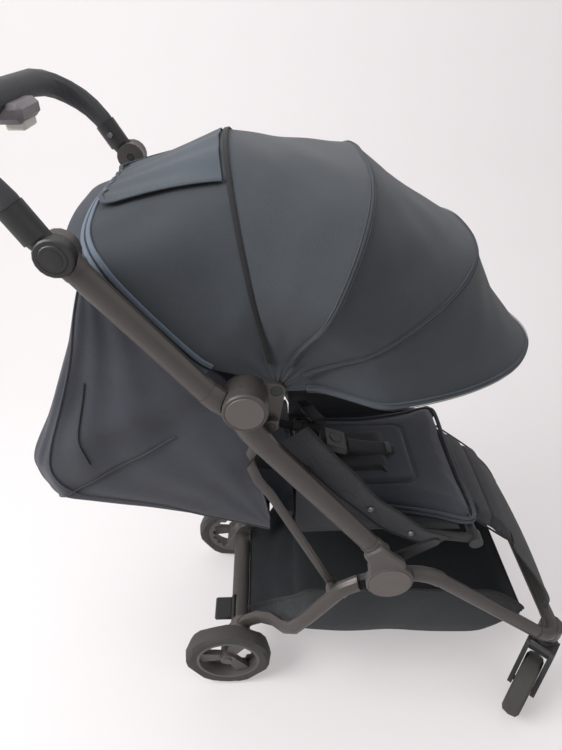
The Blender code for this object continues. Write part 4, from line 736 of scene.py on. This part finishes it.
def with_modifiers(obj):
    """The object's modifiers applied."""
    graph = bpy.context.evaluated_depsgraph_get()
    mesh = bpy.data.meshes.new_from_object(obj.evaluated_get(graph))
    obj.modifiers.clear()
    old = obj.data
    obj.data = mesh
    bpy.data.meshes.remove(old)
    mesh.name = obj.name
    return obj


def settled(obj, points):
    """The cover's points after its cloth has risen under pressure, by the swell at most."""
    scene = bpy.context.scene
    cover = obj.modifiers.new("cover", "CLOTH")
    cover.settings.use_pressure = True
    cover.settings.uniform_pressure_force = PRESSURE
    cover.settings.effector_weights.gravity = 0
    cover.settings.mass = COVER_MASS
    cover.point_cache.frame_start = 1
    cover.point_cache.frame_end = SWELL_FRAMES
    for k in range(1, SWELL_FRAMES + 1):
        scene.frame_set(k)
    graph = bpy.context.evaluated_depsgraph_get()
    step = coordinates(obj.evaluated_get(graph).data) - points
    obj.modifiers.clear()
    scene.frame_set(1)
    reach = np.linalg.norm(step, axis=1, keepdims=True)
    return points + step * np.minimum(1.0, sizes().swell / np.maximum(reach, 1e-9))


def swell(obj, shrink=(0.985, 0.985, 0.90)):
    """Padding: the cover is a cloth under light pressure, and the result is kept as a mesh."""
    grid = obj.modifiers.new("grid", "REMESH")
    grid.mode = "VOXEL"
    grid.voxel_size = sizes().voxel
    with_modifiers(obj)
    points = coordinates(obj.data)
    middle = points.mean(0)
    points = middle + (points - middle) * np.array(shrink)
    set_coordinates(obj.data, points)
    set_coordinates(obj.data, settled(obj, points))
    soft = obj.modifiers.new("soft", "SUBSURF")
    soft.levels = 1
    soft.render_levels = 1
    with_modifiers(obj)
    obj.data.shade_smooth()
    return obj


def sew(obj, lines, depth, width, up):
    """Sewn channels: the upper surface drawn in along lines of points."""
    up = np.array(tuple(up), float)
    points = coordinates(obj.data)
    upper = np.clip((coordinates(obj.data, "normal") @ up - 0.2) / 0.5, 0, 1)
    flat = points - np.outer(points @ up, up)
    nearest = np.full(len(points), 1.0)
    for line in lines:
        line = points_of(line)
        line = line - np.outer(line @ up, up)
        for start, end in zip(line, line[1:]):
            along = end - start
            share = np.clip(((flat - start) @ along) / max(along @ along, 1e-12), 0, 1)
            nearest = np.minimum(nearest, np.linalg.norm(flat - start - share[:, None] * along, axis=1))
    drop = depth * np.exp(-((nearest / width) ** 2)) * upper
    set_coordinates(obj.data, points - drop[:, None] * up)


def on_surface(obj, line, up, above):
    """Points of a line moved along up onto the object's upper surface."""
    tree = bmesh.new()
    tree.from_mesh(obj.data)
    finder = BVHTree.FromBMesh(tree)
    up = Vector(up)
    found = []
    for point in line:
        hit = finder.ray_cast(Vector(point) + up * 0.2, -up)[0]
        found.append((hit if hit else Vector(point)) + up * above)
    tree.free()
    return found


# Canopy

CANOPY_CENTRE = place(CANOPY_PIVOT[0], 0.0, CANOPY_PIVOT[1])


def hoop_point(hoop, share):
    """A point of a canopy hoop, from the right pivot at 0 to the left one at 1."""
    turn, reach, half_width, roundness = hoop
    start = math.asin((HOOP_TAB_LENGTH / reach) ** (1 / roundness))
    angle = start + (math.pi - 2 * start) * share
    radius = reach * math.sin(angle) ** roundness
    spread = min(1.0, max(0.0, (radius - HOOP_WIDENS_FROM) / HOOP_WIDENS_OVER))
    spread = spread * spread * (3 - 2 * spread)
    width = HOOP_TAB_Y + (half_width - HOOP_TAB_Y) * spread
    y = -math.copysign(abs(math.cos(angle)) ** roundness, math.cos(angle)) * width
    turn = math.radians(turn)
    return place(CANOPY_PIVOT[0] + radius * math.cos(turn), y, CANOPY_PIVOT[1] + radius * math.sin(turn))


def canopy_line(index):
    """Points across the canopy: 0 is its rear edge, and 1 to 4 are its bows."""
    if index == 0:
        return smooth(mirrored(REAR_EDGE), CANOPY_ACROSS)
    hoop = list(HOOPS.values())[index - 1]
    turn = math.radians(hoop[0])
    x = CANOPY_PIVOT[0] + CLOTH_FOOT * math.cos(turn)
    z = CANOPY_PIVOT[1] + CLOTH_FOOT * math.sin(turn)
    arch = [hoop_point(hoop, share) for share in np.linspace(0, 1, 29)]
    return smooth([place(x, -HOOP_TAB_Y, z), *arch, place(x, HOOP_TAB_Y, z)], CANOPY_ACROSS)


def canopy_surface(panel, lift=0.0, creased=True):
    """The grid of points of one canopy panel, with its sag and its soft creases."""
    back, front = canopy_line(panel), canopy_line(panel + 1)
    share = np.linspace(0, 1, CANOPY_ALONG)[:, None, None]
    grid = back[None] * (1 - share) + front[None] * share
    outward = grid - np.array(tuple(CANOPY_CENTRE))
    outward[:, :, 1] *= 0.5
    outward /= np.maximum(np.linalg.norm(outward, axis=2, keepdims=True), 1e-9)
    across, along = np.linspace(0, 1, CANOPY_ACROSS)[None, :], share[:, :, 0]
    arch, hollow = np.sin(math.pi * across), np.sin(math.pi * along)
    offset = -PANEL_SAG[panel] * hollow * arch**0.7
    if creased:
        phase = 1.7 * panel
        crease = np.sin(9 * across + 5 * along + phase) * np.sin(31 * across - 7 * along + 2 * phase)
        crease = crease + 0.6 * np.sin(53 * across + 11 * along + phase)
        offset = offset + sizes().crease * crease * hollow
    clear = WIRE_CLEAR * np.minimum(1.0, arch * 3)
    return grid + outward * (offset + clear + lift)[:, :, None]


def fold_with(obj):
    """Bakes the piece's transform into its mesh."""
    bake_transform(obj)


class MakeCanopy(bpy.types.Operator):
    """Stretch the canopy cloth over its bows, with a sewn channel over each"""

    bl_idname = "stroller.make_canopy"
    bl_label = "Canopy"

    def execute(self, context):
        for panel in range(4):
            grid, name, slot = canopy_surface(panel), f"canopy_cloth_{panel + 1}", f"canopy_panel_{panel + 1}"
            obj = sheet(name, grid, sizes().cloth, None, "canopy", slot)
            fold_with(obj)
        stitch = sizes().stitch * 2
        for number, name in enumerate(HOOPS, 1):
            line = canopy_line(number)[2:-2]
            out = unit_rows(line - np.array(tuple(CANOPY_CENTRE)))
            brim = name == "canopy_front_bow"
            radius = sizes().channel * (BRIM_GROWTH if brim else 1.0)
            finish = "flap" if brim else "canopy"
            middle = line + out * CHANNEL_LIFT
            trim(f"{name}_channel", middle, radius * 2, radius * 2.1, out, name, finish, name, sides=12)
            if number == 1:
                over = line + out * TAPE_LIFT
                trim(f"{name}_tape", over, sizes().tape, TAPE_THICK, out, name, "webbing", name, power=4.0)
            beside = unit_rows(np.cross(np.gradient(line, axis=0), out)) * radius * 0.98
            for k, turn in enumerate((-1, 1), 1):
                seam = line + out * (radius + SEAM_LIFT) + beside * turn
                trim(f"{name}_seam_{k}", seam, stitch, stitch, out, name, "canopy", name, sides=6)
        return {"FINISHED"}


class MakeFlap(bpy.types.Operator):
    """Lay the rear flap over the top of the canopy"""

    bl_idname = "stroller.make_flap"
    bl_label = "Rear flap"

    def execute(self, context):
        grid = canopy_surface(0, lift=FLAP_LIFT, creased=False)
        middle = CANOPY_ACROSS // 2
        rows = []
        for k, row in enumerate(grid[2:-1], 2):
            behind = np.linalg.norm(row[middle] - grid[2, middle])
            half = np.interp(k / len(grid), (0, 1), FLAP_HALF)
            short = max(0.0, FLAP_CORNER - behind)
            half -= FLAP_CORNER - math.sqrt(FLAP_CORNER**2 - short**2)
            row = row[20:-20]
            ys = np.linspace(-half, half, 61)
            rows.append(np.stack([np.interp(ys, row[:, 1], row[:, axis]) for axis in range(3)], axis=1))
        part = np.array(rows)
        normals = normals_of(part, CANOPY_CENTRE)
        across, along = spans(part)
        curl = FLAP_CURL * np.abs(across) ** 6 * (1 - 0.75 * along)
        part += normals * (curl + FLAP_WAVE * np.sin(14 * across + 4 * along))[:, :, None]
        flap = sheet("canopy_flap", part, sizes().cloth * 1.8, None, "flap")
        edge, up = (np.vstack([side[::-1, 0], side[0, 1:-1], side[:, -1]]) for side in (part, normals))
        hem = trim("canopy_flap_hem", edge, *FLAP_HEM, up, None, "flap", "canopy_panel_1", sides=8, power=3.0)
        for piece in (flap, hem):
            fold_with(piece)
        return {"FINISHED"}


def inside_point(point):
    """A point (x, z) in the middle plane, as one row."""
    return points_of([place(point[0], 0.0, point[1])])


class MakeBands(bpy.types.Operator):
    """Sew the light and dark bands along the canopy's rear edge"""

    bl_idname = "stroller.make_bands"
    bl_label = "Rear bands"

    def execute(self, context):
        line = smooth(mirrored(REAR_EDGE[2:]), 121)
        outward = unit_rows(line - inside_point(BAND_MIDDLE))
        inward = unit_rows(np.cross(np.gradient(line, axis=0), outward))
        if ((inside_point(BAND_AHEAD) - line) * inward).sum() < 0:
            inward = -inward
        for name, shift, width, finish, lift, middle in BANDS:
            level = unit_rows(line - inside_point(middle))
            path = line + unit_rows(np.cross(level, np.cross(inward, level))) * shift + level * lift
            trim(name, path, width, BAND_THICK, level, "handle_frame", finish, "canopy_panel_1",
                 sides=12, power=4.0)
        return {"FINISHED"}


class MakeSack(bpy.types.Operator):
    """Hang the rear bag behind the reclined seat"""

    bl_idname = "stroller.make_sack"
    bl_label = "Rear bag"

    def execute(self, context):
        rows = []
        for back, rim in zip(SACK_BACK, SACK_RIM):
            rows.append(mirrored([
                (rim[0] + (back[0] - rim[0]) * depth, width * SACK_HALF, rim[1] + (back[1] - rim[1]) * depth)
                for width, depth in SACK_SECTION
            ]))
        grid = refined(rows, 81, 91)
        normals = normals_of(grid, place(-0.05, 0.0, 0.66))
        across, along = spans(grid)
        beside = np.abs(across)
        hold = np.sin(math.pi * along) * np.clip((1 - beside) * 9, 0, 1)
        folds = np.sin(15 * along + 9 * beside + 1.2 * np.sin(7 * across))
        folds = folds + 0.5 * np.sin(34 * along - 16 * beside) + 0.4 * np.sin(51 * beside + 9 * along)
        depth = sizes().fold * (0.45 + 0.55 * np.clip((beside - 0.5) * 5, 0, 1))
        grid = grid + normals * (depth * folds * hold)[:, :, None]
        pieces = [sheet("rear_bag", grid, sizes().bag_cloth, "handle_frame", "sack", "sack")]
        piping, seam = sizes().piping, SACK_SEAM_RADIUS
        trims = (
            ("rear_bag_rim_right", grid[:, 0], piping),
            ("rear_bag_rim_left", grid[:, -1], piping),
            ("rear_bag_seam_right", grid[:, 19] + normals[:, 19] * SACK_SEAM_LIFT, seam),
            ("rear_bag_seam_left", grid[:, -20] + normals[:, -20] * SACK_SEAM_LIFT, seam),
            ("rear_bag_slit", grid[22:44, 14] + normals[22:44, 14] * SACK_SLIT_LIFT, seam),
            ("rear_bag_base_seam", grid[50, 6:-6] + normals[50, 6:-6] * SACK_SEAM_LIFT, seam),
        )
        for name, line, radius in trims:
            width, up = radius * 2, UP if "base" in name else (0.3, 1.0, 0.2)
            finish = "webbing" if "slit" in name else "sack"
            pieces.append(trim(name, line, width, width, up, "handle_frame", finish, "sack", sides=8))
        for piece in pieces:
            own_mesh(piece)
        return {"FINISHED"}


class MakeBasket(bpy.types.Operator):
    """Hang the basket under the seat"""

    bl_idname = "stroller.make_basket"
    bl_label = "Basket"

    def execute(self, context):
        rows = []
        for x, half_width, hem, floor, foot in BASKET:
            drop = hem - floor
            bend = foot + 0.75 * (half_width - foot)
            rows.append(mirrored([
                (x, half_width, hem), (x, half_width, hem - 0.45 * drop), (x, bend, floor + 0.2 * drop),
                (x, foot, floor + 0.02 * drop), (x, foot * 0.5, floor), (x, 0.0, floor),
            ]))
        grid = refined(rows, 77, 81)
        normals = normals_of(grid, place(0.30, 0.0, 0.26))
        across, along = spans(grid)
        hold = np.clip(np.sin(math.pi * along) * 3, 0, 1) * np.clip((1 - np.abs(across)) * 8, 0, 1)
        folds = np.sin(24 * along + 3 * across) + 0.7 * np.sin(43 * along - 8 * np.abs(across))
        grid = grid + normals * (sizes().fold * 0.30 * folds * hold)[:, :, None]
        bag = sheet("basket_cloth", grid, sizes().bag_cloth, "chassis", "basket", "basket")
        pieces = [bag]
        for word, line, width, up in (
            ("right", grid[:, 0], SIDE_HEM, (0, 1, 0)), ("left", grid[:, -1], SIDE_HEM, (0, 1, 0)),
            ("front", grid[-1], END_HEM, (1, 0, 0)), ("rear", grid[0], END_HEM, (1, 0, 0)),
        ):
            pieces.append(trim(f"basket_hem_{word}", line, width, HEM_THICK, up, "chassis", "webbing",
                               "basket", power=4.0))
        for piece in pieces:
            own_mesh(piece)
        return {"FINISHED"}


def slung_row(x):
    """A section of the seat's sling, from tube to tube under the seat."""
    half, base = SLING_HALF, SEAT_BASE_Z
    top = max(np.interp(x, *zip(*SEAT_TUBE_ROUTE)) + 0.002, base + 0.004)
    fold = min(0.014, (top - base) * 0.6)
    return mirrored([
        (x, half, top), (x, half, (top + base + fold) / 2), (x, half, base + fold),
        (x, half - 0.008, base), (x, half * 0.5, base - 0.002), (x, 0, base - 0.002),
    ])


def raise_panel(seat, middle, half):
    """Raises a rounded rectangle on the seat pad, inside a sewn groove."""
    points = coordinates(seat.data)
    reach = np.abs(points[:, :2] - (middle, 0.0)) - (half - PANEL_CORNER, PANEL_HALF - PANEL_CORNER)
    outside = np.linalg.norm(np.maximum(reach, 0), axis=1) + np.minimum(reach.max(1), 0) - PANEL_CORNER
    inside = np.clip(0.5 - outside / PANEL_EDGE, 0, 1)
    upper = np.clip((points[:, 2] - PAD_TOP_FROM) / PAD_TOP_OVER, 0, 1)
    groove = PANEL_GROOVE * np.exp(-((outside / PANEL_GROOVE_WIDTH) ** 2))
    points[:, 2] += (PANEL_RISE * inside * inside * (3 - 2 * inside) - groove) * upper
    set_coordinates(seat.data, points)


class MakeSeat(bpy.types.Operator):
    """Upholster the seat and its sling"""

    bl_idname = "stroller.make_seat"
    bl_label = "Seat"

    def execute(self, context):
        steps = [k / (SLING_SECTIONS - 1) for k in range(SLING_SECTIONS)]
        grid = refined([slung_row(SLING_REAR_X + SLING_RUN * step) for step in steps], 31, 71)
        sheet("seat_sides", grid, SLING_THICK, "chassis", "seat_inner",
              stands_for="seat_sling")

        seat = swell(pad_shape("seat_pad", SEAT_OUTLINE, SEAT_LEVELS), (0.99, 0.985, 0.95))
        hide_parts("seat_cushion")
        middle, half = (PANEL_REAR + PANEL_FRONT) / 2 - MIDDLE_X, (PANEL_FRONT - PANEL_REAR) / 2
        raise_panel(seat, middle, half)
        stuffed(seat, "chassis", "seat")
        outline = []
        for k in range(120):
            x, y = rounded(math.tau * k / 120, half, PANEL_HALF, PANEL_ROUNDNESS)
            outline.append((middle + x, y, PAD_MIDDLE_Z))
        thread, stitch = on_surface(seat, outline, UP, 0.0002), sizes().stitch
        trim("seat_pad_seam", thread, stitch * 2.2, stitch * 2, UP, "chassis", "webbing", "seat_cushion",
             sides=6, closed=True)
        crotch = swell(pad_shape("crotch_panel", CROTCH_OUTLINE, CROTCH_LEVELS), (1.0, 1.0, 1.0))
        stuffed(crotch, "chassis", "seat_inner")
        for name, z, out in SEAT_PIPING:
            rim = ring_points(SEAT_OUTLINE, -out, z)
            trim(f"seat_pad_piping_{name}", rim, *PIPING_SECTION, UP, "chassis", "seat", "seat_cushion",
                 closed=True)
        return {"FINISHED"}


class MakeRests(bpy.types.Operator):
    """Upholster the backrest and the calf rest"""

    bl_idname = "stroller.make_rests"
    bl_label = "Backrest and calf rest"

    def execute(self, context):
        back = swell(cad_copy("backrest_pad", "backrest"))
        along = Vector((math.cos(BACK_TILT), 0, math.sin(BACK_TILT)))
        face = Vector((math.sin(BACK_TILT), 0, -math.cos(BACK_TILT)))
        start = place(BACK_PIVOT[0], 0, BACK_PIVOT[1])
        ends = (-BACK_SEAM_HALF, BACK_SEAM_HALF)
        sew(back, [[start + along * share + Vector((0, y, 0)) for y in ends] for share in BACK_SEAMS],
            BACK_SEAM_DEPTH, BACK_SEAM_WIDTH, face)
        stuffed(back, "backrest", "seat")

        calf = swell(cad_copy("calf_pad", "calf_rest"), (0.99, 0.985, 0.97))
        run = Vector((math.cos(CALF_TILT), 0, math.sin(CALF_TILT)))
        face = Vector((-math.sin(CALF_TILT), 0, math.cos(CALF_TILT)))
        start = place(CALF_PIVOT[0], 0, CALF_PIVOT[1])
        ends = (-CALF_BEND_HALF, CALF_BEND_HALF)
        bend = [start + run * CALF_BEND + Vector((0, y, 0)) for y in ends]
        sew(calf, [bend], CALF_BEND_DEPTH, CALF_BEND_WIDTH, face)
        stuffed(calf, "calf_rest", "calf")
        outline = CALF_OUTLINE + [(a, -b) for a, b in CALF_OUTLINE[-2::-1]]
        lift, width = face * CALF_PIPING_LIFT, sizes().piping * 2
        route = smooth([start + run * a + lift + Vector((0, b, 0)) for a, b in outline], 70)
        trim("calf_piping", route, width, width, face, "calf_rest", "webbing", "calf_rest", sides=8)
        return {"FINISHED"}


class MakeFrontPanel(bpy.types.Operator):
    """Hang the net panel between the calf rest and the front cross bar"""

    bl_idname = "stroller.make_front_panel"
    bl_label = "Front net panel"

    def execute(self, context):
        rows = []
        for x, z, half in FRONT_LINE:
            bulge = FRONT_BULGE if z > FRONT_BULGE_ABOVE else 0.0
            rows.append([place(x + bulge * (1 - share**2), share * half, z + bulge * 0.3 * (1 - share**2))
                         for share in np.linspace(-1, 1, 7)])
        grid = refined(rows, 41, 61)
        pieces = [sheet("front_net", grid, NET_THICK, None, "net", "front_panel")]
        normals = normals_of(grid, place(0.40, 0.0, 0.25))
        for word, part in (("right", np.s_[:, 0]), ("left", np.s_[:, -1]), ("top", np.s_[0])):
            pieces.append(trim(f"front_net_edge_{word}", grid[part], NET_EDGE_WIDTH, HEM_THICK, normals[part],
                               None, "calf", "front_panel", power=4.0))
        for piece in pieces:
            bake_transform(piece)
        return {"FINISHED"}


class MakeHarness(bpy.types.Operator):
    """Lay the five-point harness over the seat"""

    bl_idname = "stroller.make_harness"
    bl_label = "Harness"

    def execute(self, context):
        width, thick, slot = sizes().strap_width, sizes().strap_thick, "crotch_strap"
        flat, block = {"sides": 12, "power": 4.0}, {"sides": 12, "power": 3.0}
        up = (0, 1e-3, 1)
        pad = strip("crotch_pad", smooth(placed(CROTCH_ROUTE), 24), CROTCH_PAD_WIDTH, PAD_THICK, up, 16, 3.2)
        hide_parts(slot)
        stuffed(pad, "chassis", "seat_inner")
        tongue = smooth(placed(TONGUE_ROUTE), 12)
        trim("crotch_webbing", tongue, width * 0.9, thick, up, "chassis", "webbing", slot, **flat)
        adjuster = placed(ADJUSTER_ROUTE)
        trim("crotch_adjuster", adjuster, *ADJUSTER_SECTION, UP, "chassis", "black", slot, **block)
        for word, side in SIDES:
            hip, up = smooth(placed(HIP_ROUTE, side), 26), (0.15, 0, 1)
            trim(f"hip_strap_{word}", hip, width, thick, up, "chassis", "webbing", slot, **flat)
            sleeve = strip(f"hip_pad_{word}", hip[5:17], width * 1.35, PAD_THICK, up, 16, 3.0)
            stuffed(sleeve, "chassis", "seat_inner")
            route, up = smooth(placed(SHOULDER_ROUTE, side), 46), (0.2, 0, 1)
            strap = trim(f"shoulder_strap_{word}", route, width, thick, up, None, "webbing", slot, **flat)
            pad = strip(f"shoulder_pad_{word}", route[4:27], width * 1.6, SHOULDER_PAD_THICK, up, 16, 3.0)
            stuffed(pad, None, "seat_inner")
            slide = trim(f"shoulder_adjuster_{word}", route[30:33], width * 1.35, SLIDE_THICK, up, None,
                         "black", slot, **block)
            for piece in (strap, pad, slide):
                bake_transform(piece)
        return {"FINISHED"}


class MakeSideStrips(bpy.types.Operator):
    """Run the cloth side strips between the rails and the seat, with their snaps"""

    bl_idname = "stroller.make_side_strips"
    bl_label = "Side strips"

    def execute(self, context):
        line = smooth(SIDE_STRIP, 41)
        for word, side in SIDES:
            rows = []
            for k, (x, z) in enumerate(line):
                share = k / (len(line) - 1)
                spread = STRIP_HALF_TOP - STRIP_NARROWING * share
                ripple = STRIP_RIPPLE * math.sin(17 * share)
                wave = STRIP_WAVE * math.sin(23 * share)
                rows.append([place(x + across * spread * STRIP_SLANT[0],
                                   side * (SIDE_STRIP_Y + STRIP_OUT * across + ripple * across),
                                   z + across * spread * STRIP_SLANT[1] + wave * across)
                             for across in np.linspace(-1, 1, 9)])
            grid = np.array(rows)
            sheet(f"side_strip_{word}", grid, SIDE_STRIP_THICK, "chassis", "seat_inner")
            for name, column in (("top", -1), ("low", 0)):
                trim(f"side_strip_{name}_hem_{word}", grid[:, column], *STRIP_HEM, (0, 1, 0), "chassis",
                     "webbing", "seat_sling", sides=8, power=3.0)
            for number, (x, z) in enumerate(SIDE_SNAPS, 1):
                centre = place(x, side * SIDE_SNAP_Y, z)
                snap = turned(f"side_snap_{number}_{word}", centre, (0, side, 0), SNAP)
                dress(snap, "chassis", "metal")
        return {"FINISHED"}


class MakeDetails(bpy.types.Operator):
    """Add the screws of the handle's sleeves and the rings of its pivot buttons"""

    bl_idname = "stroller.make_details"
    bl_label = "Small fittings"

    def execute(self, context):
        for word, side in SIDES:
            x, y, z = SCREW_PLACE
            screw = turned(f"sleeve_screw_{word}", place(x, side * y, z), (0, -side, 0), SCREW, 16)
            dress(screw, "handle", "metal")
            low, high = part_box(f"pivot_button_{word}")
            middle = (low + high) / 2
            face = high.y if side > 0 else low.y
            cap = turned(f"pivot_cap_{word}", Vector((middle.x, face, middle.z)), (0, side, 0), PIVOT_CAP, 28)
            dress(cap, f"pivot_button_{word}", "black")
        return {"FINISHED"}


def smooth_corners(mesh):
    """Corner normals that run smoothly over the facets of a triangle mesh and break at its sharp edges."""
    places = np.zeros(len(mesh.loops), int)
    mesh.loops.foreach_get("vertex_index", places)
    corners = coordinates(mesh)[places].reshape(-1, 3, 3)
    faces = unit_rows(np.cross(corners[:, 1] - corners[:, 0], corners[:, 2] - corners[:, 0]))
    ahead, behind = (unit_rows((np.roll(corners, step, axis=1) - corners).reshape(-1, 3)) for step in (-1, 1))
    angles = np.arccos(np.clip((ahead * behind).sum(1), -1, 1))
    own = np.repeat(faces, 3, axis=0)
    keys = np.round(corners.reshape(-1, 3) * 1e5).astype(int)
    keys = np.unique(keys, axis=0, return_inverse=True)[1].ravel()
    order = np.argsort(keys, kind="stable")
    normals = own.copy()
    for around in np.split(order, np.flatnonzero(np.diff(keys[order])) + 1):
        near = (own[around] @ own[around].T > math.cos(SHARP_ANGLE)) * angles[around]
        normals[around] = unit_rows(near @ own[around])
    mesh.shade_smooth()
    mesh.normals_split_custom_set(normals.tolist())


class PaintNodes(bpy.types.Operator):
    """Give every carried-over CAD node the finish that it has on the stroller"""

    bl_idname = "stroller.paint_nodes"
    bl_label = "Frame, wheels and mouldings"

    def execute(self, context):
        for name, node in frame["nodes"].items():
            keys = [key for key in NODE_FINISHES if name.startswith(key)]
            if not keys:
                continue
            smooth_corners(node.data)
            finish = finish_of(NODE_FINISHES[max(keys, key=len)])
            for slot in node.material_slots:
                slot.material = finish
        return {"FINISHED"}


def pale_floor():
    """The floor's material, which glows a little wherever it is seen."""
    paint = bpy.data.materials.new("pale_floor")
    paint.use_nodes = True
    tree = paint.node_tree
    shader = tree.nodes["Principled BSDF"]
    tone = (*colours().floor, 1.0)
    shader.inputs["Base Color"].default_value = tone
    shader.inputs["Roughness"].default_value = 0.8
    rays = tree.nodes.new("ShaderNodeLightPath")
    seen = math_node(tree, "MAXIMUM", rays.outputs["Is Camera Ray"], rays.outputs["Is Glossy Ray"])
    seen = math_node(tree, "MAXIMUM", seen, rays.outputs["Is Transmission Ray"])
    glow = tree.nodes.new("ShaderNodeEmission")
    glow.inputs["Color"].default_value = tone
    glow.inputs["Strength"].default_value = 1.0
    mix = tree.nodes.new("ShaderNodeMixShader")
    tree.links.new(math_node(tree, "MULTIPLY", seen, FLOOR_GLOW), mix.inputs[0])
    tree.links.new(shader.outputs[0], mix.inputs[1])
    tree.links.new(glow.outputs[0], mix.inputs[2])
    tree.links.new(mix.outputs[0], tree.nodes["Material Output"].inputs["Surface"])
    return paint


class MakeStage(bpy.types.Operator):
    """Set the pale floor, the soft lamps and the camera"""

    bl_idname = "stroller.make_stage"
    bl_label = "Floor, light and camera"

    def execute(self, context):
        scene = context.scene
        shape = bmesh.new()
        sides = (-FLOOR_HALF, FLOOR_HALF)
        rows = [[shape.verts.new((x, y, z - FLOOR_DROP)) for x in sides] for y, z in FLOOR_SECTION]
        for low, high in zip(rows, rows[1:]):
            shape.faces.new((low[0], low[1], high[1], high[0]))
        floor = new_object("floor", shape)
        floor.data.materials.append(pale_floor())

        for name, spot, size, power, tint in LAMPS:
            light = bpy.data.lights.new(name, "AREA")
            light.shape = "DISK"
            light.size = size
            light.energy = power
            light.color = tint
            lamp = bpy.data.objects.new(name, light)
            scene.collection.objects.link(lamp)
            lamp.location = spot
            lamp.rotation_euler = (Vector(LAMP_AIM) - Vector(spot)).to_track_quat("-Z", "Y").to_euler()
        world = bpy.data.worlds.new("soft light")
        world.use_nodes = True
        world.node_tree.nodes["Background"].inputs["Color"].default_value = SKY
        world.node_tree.nodes["Background"].inputs["Strength"].default_value = SKY_STRENGTH
        scene.world = world

        down, turn = CAMERA_DOWN, CAMERA_TURN
        forward = Vector((math.sin(turn) * math.cos(down), math.cos(turn) * math.cos(down), -math.sin(down)))
        lens = bpy.data.cameras.new("camera")
        lens.sensor_fit = "VERTICAL"
        lens.sensor_height = SENSOR_HEIGHT
        lens.lens = CAMERA_LENS
        camera = bpy.data.objects.new("camera", lens)
        scene.collection.objects.link(camera)
        aim = forward.to_track_quat("-Z", "Y").to_matrix().to_4x4()
        roll = Matrix.Rotation(CAMERA_ROLL, 4, "Z")
        camera.matrix_world = Matrix.Translation(place(*CAMERA_PLACE)) @ aim @ roll
        scene.camera = camera
        scene.view_settings.view_transform = "Standard"
        return {"FINISHED"}


OPERATORS = (
    PaintNodes, MakeStage, MakeCanopy, MakeFlap, MakeBands, MakeSack, MakeBasket, MakeSeat, MakeRests,
    MakeFrontPanel, MakeHarness, MakeSideStrips, MakeDetails,
)


class StrollerPanel(bpy.types.Panel):
    """The pieces of the stroller, in the order in which they are made"""

    bl_idname = "VIEW3D_PT_stroller"
    bl_label = "Stroller"
    bl_space_type = "VIEW_3D"
    bl_region_type = "UI"
    bl_category = "Stroller"

    def draw(self, context):
        for operator in OPERATORS:
            self.layout.operator(operator.bl_idname)
        for owner in (context.scene.stroller_sizes, context.scene.stroller_colours):
            for name in owner.__annotations__:
                self.layout.prop(owner, name)


CLASSES = (StrollerSizes, StrollerColours, *OPERATORS, StrollerPanel)


def register():
    for made in CLASSES:
        bpy.utils.register_class(made)
    bpy.types.Scene.stroller_sizes = PointerProperty(type=StrollerSizes)
    bpy.types.Scene.stroller_colours = PointerProperty(type=StrollerColours)


def unregister():
    del bpy.types.Scene.stroller_colours
    del bpy.types.Scene.stroller_sizes
    for made in reversed(CLASSES):
        bpy.utils.unregister_class(made)


def main():
    register()
    for operator in OPERATORS:
        family, name = operator.bl_idname.split(".")
        getattr(getattr(bpy.ops, family), name)()


if __name__ == "__main__":
    main()
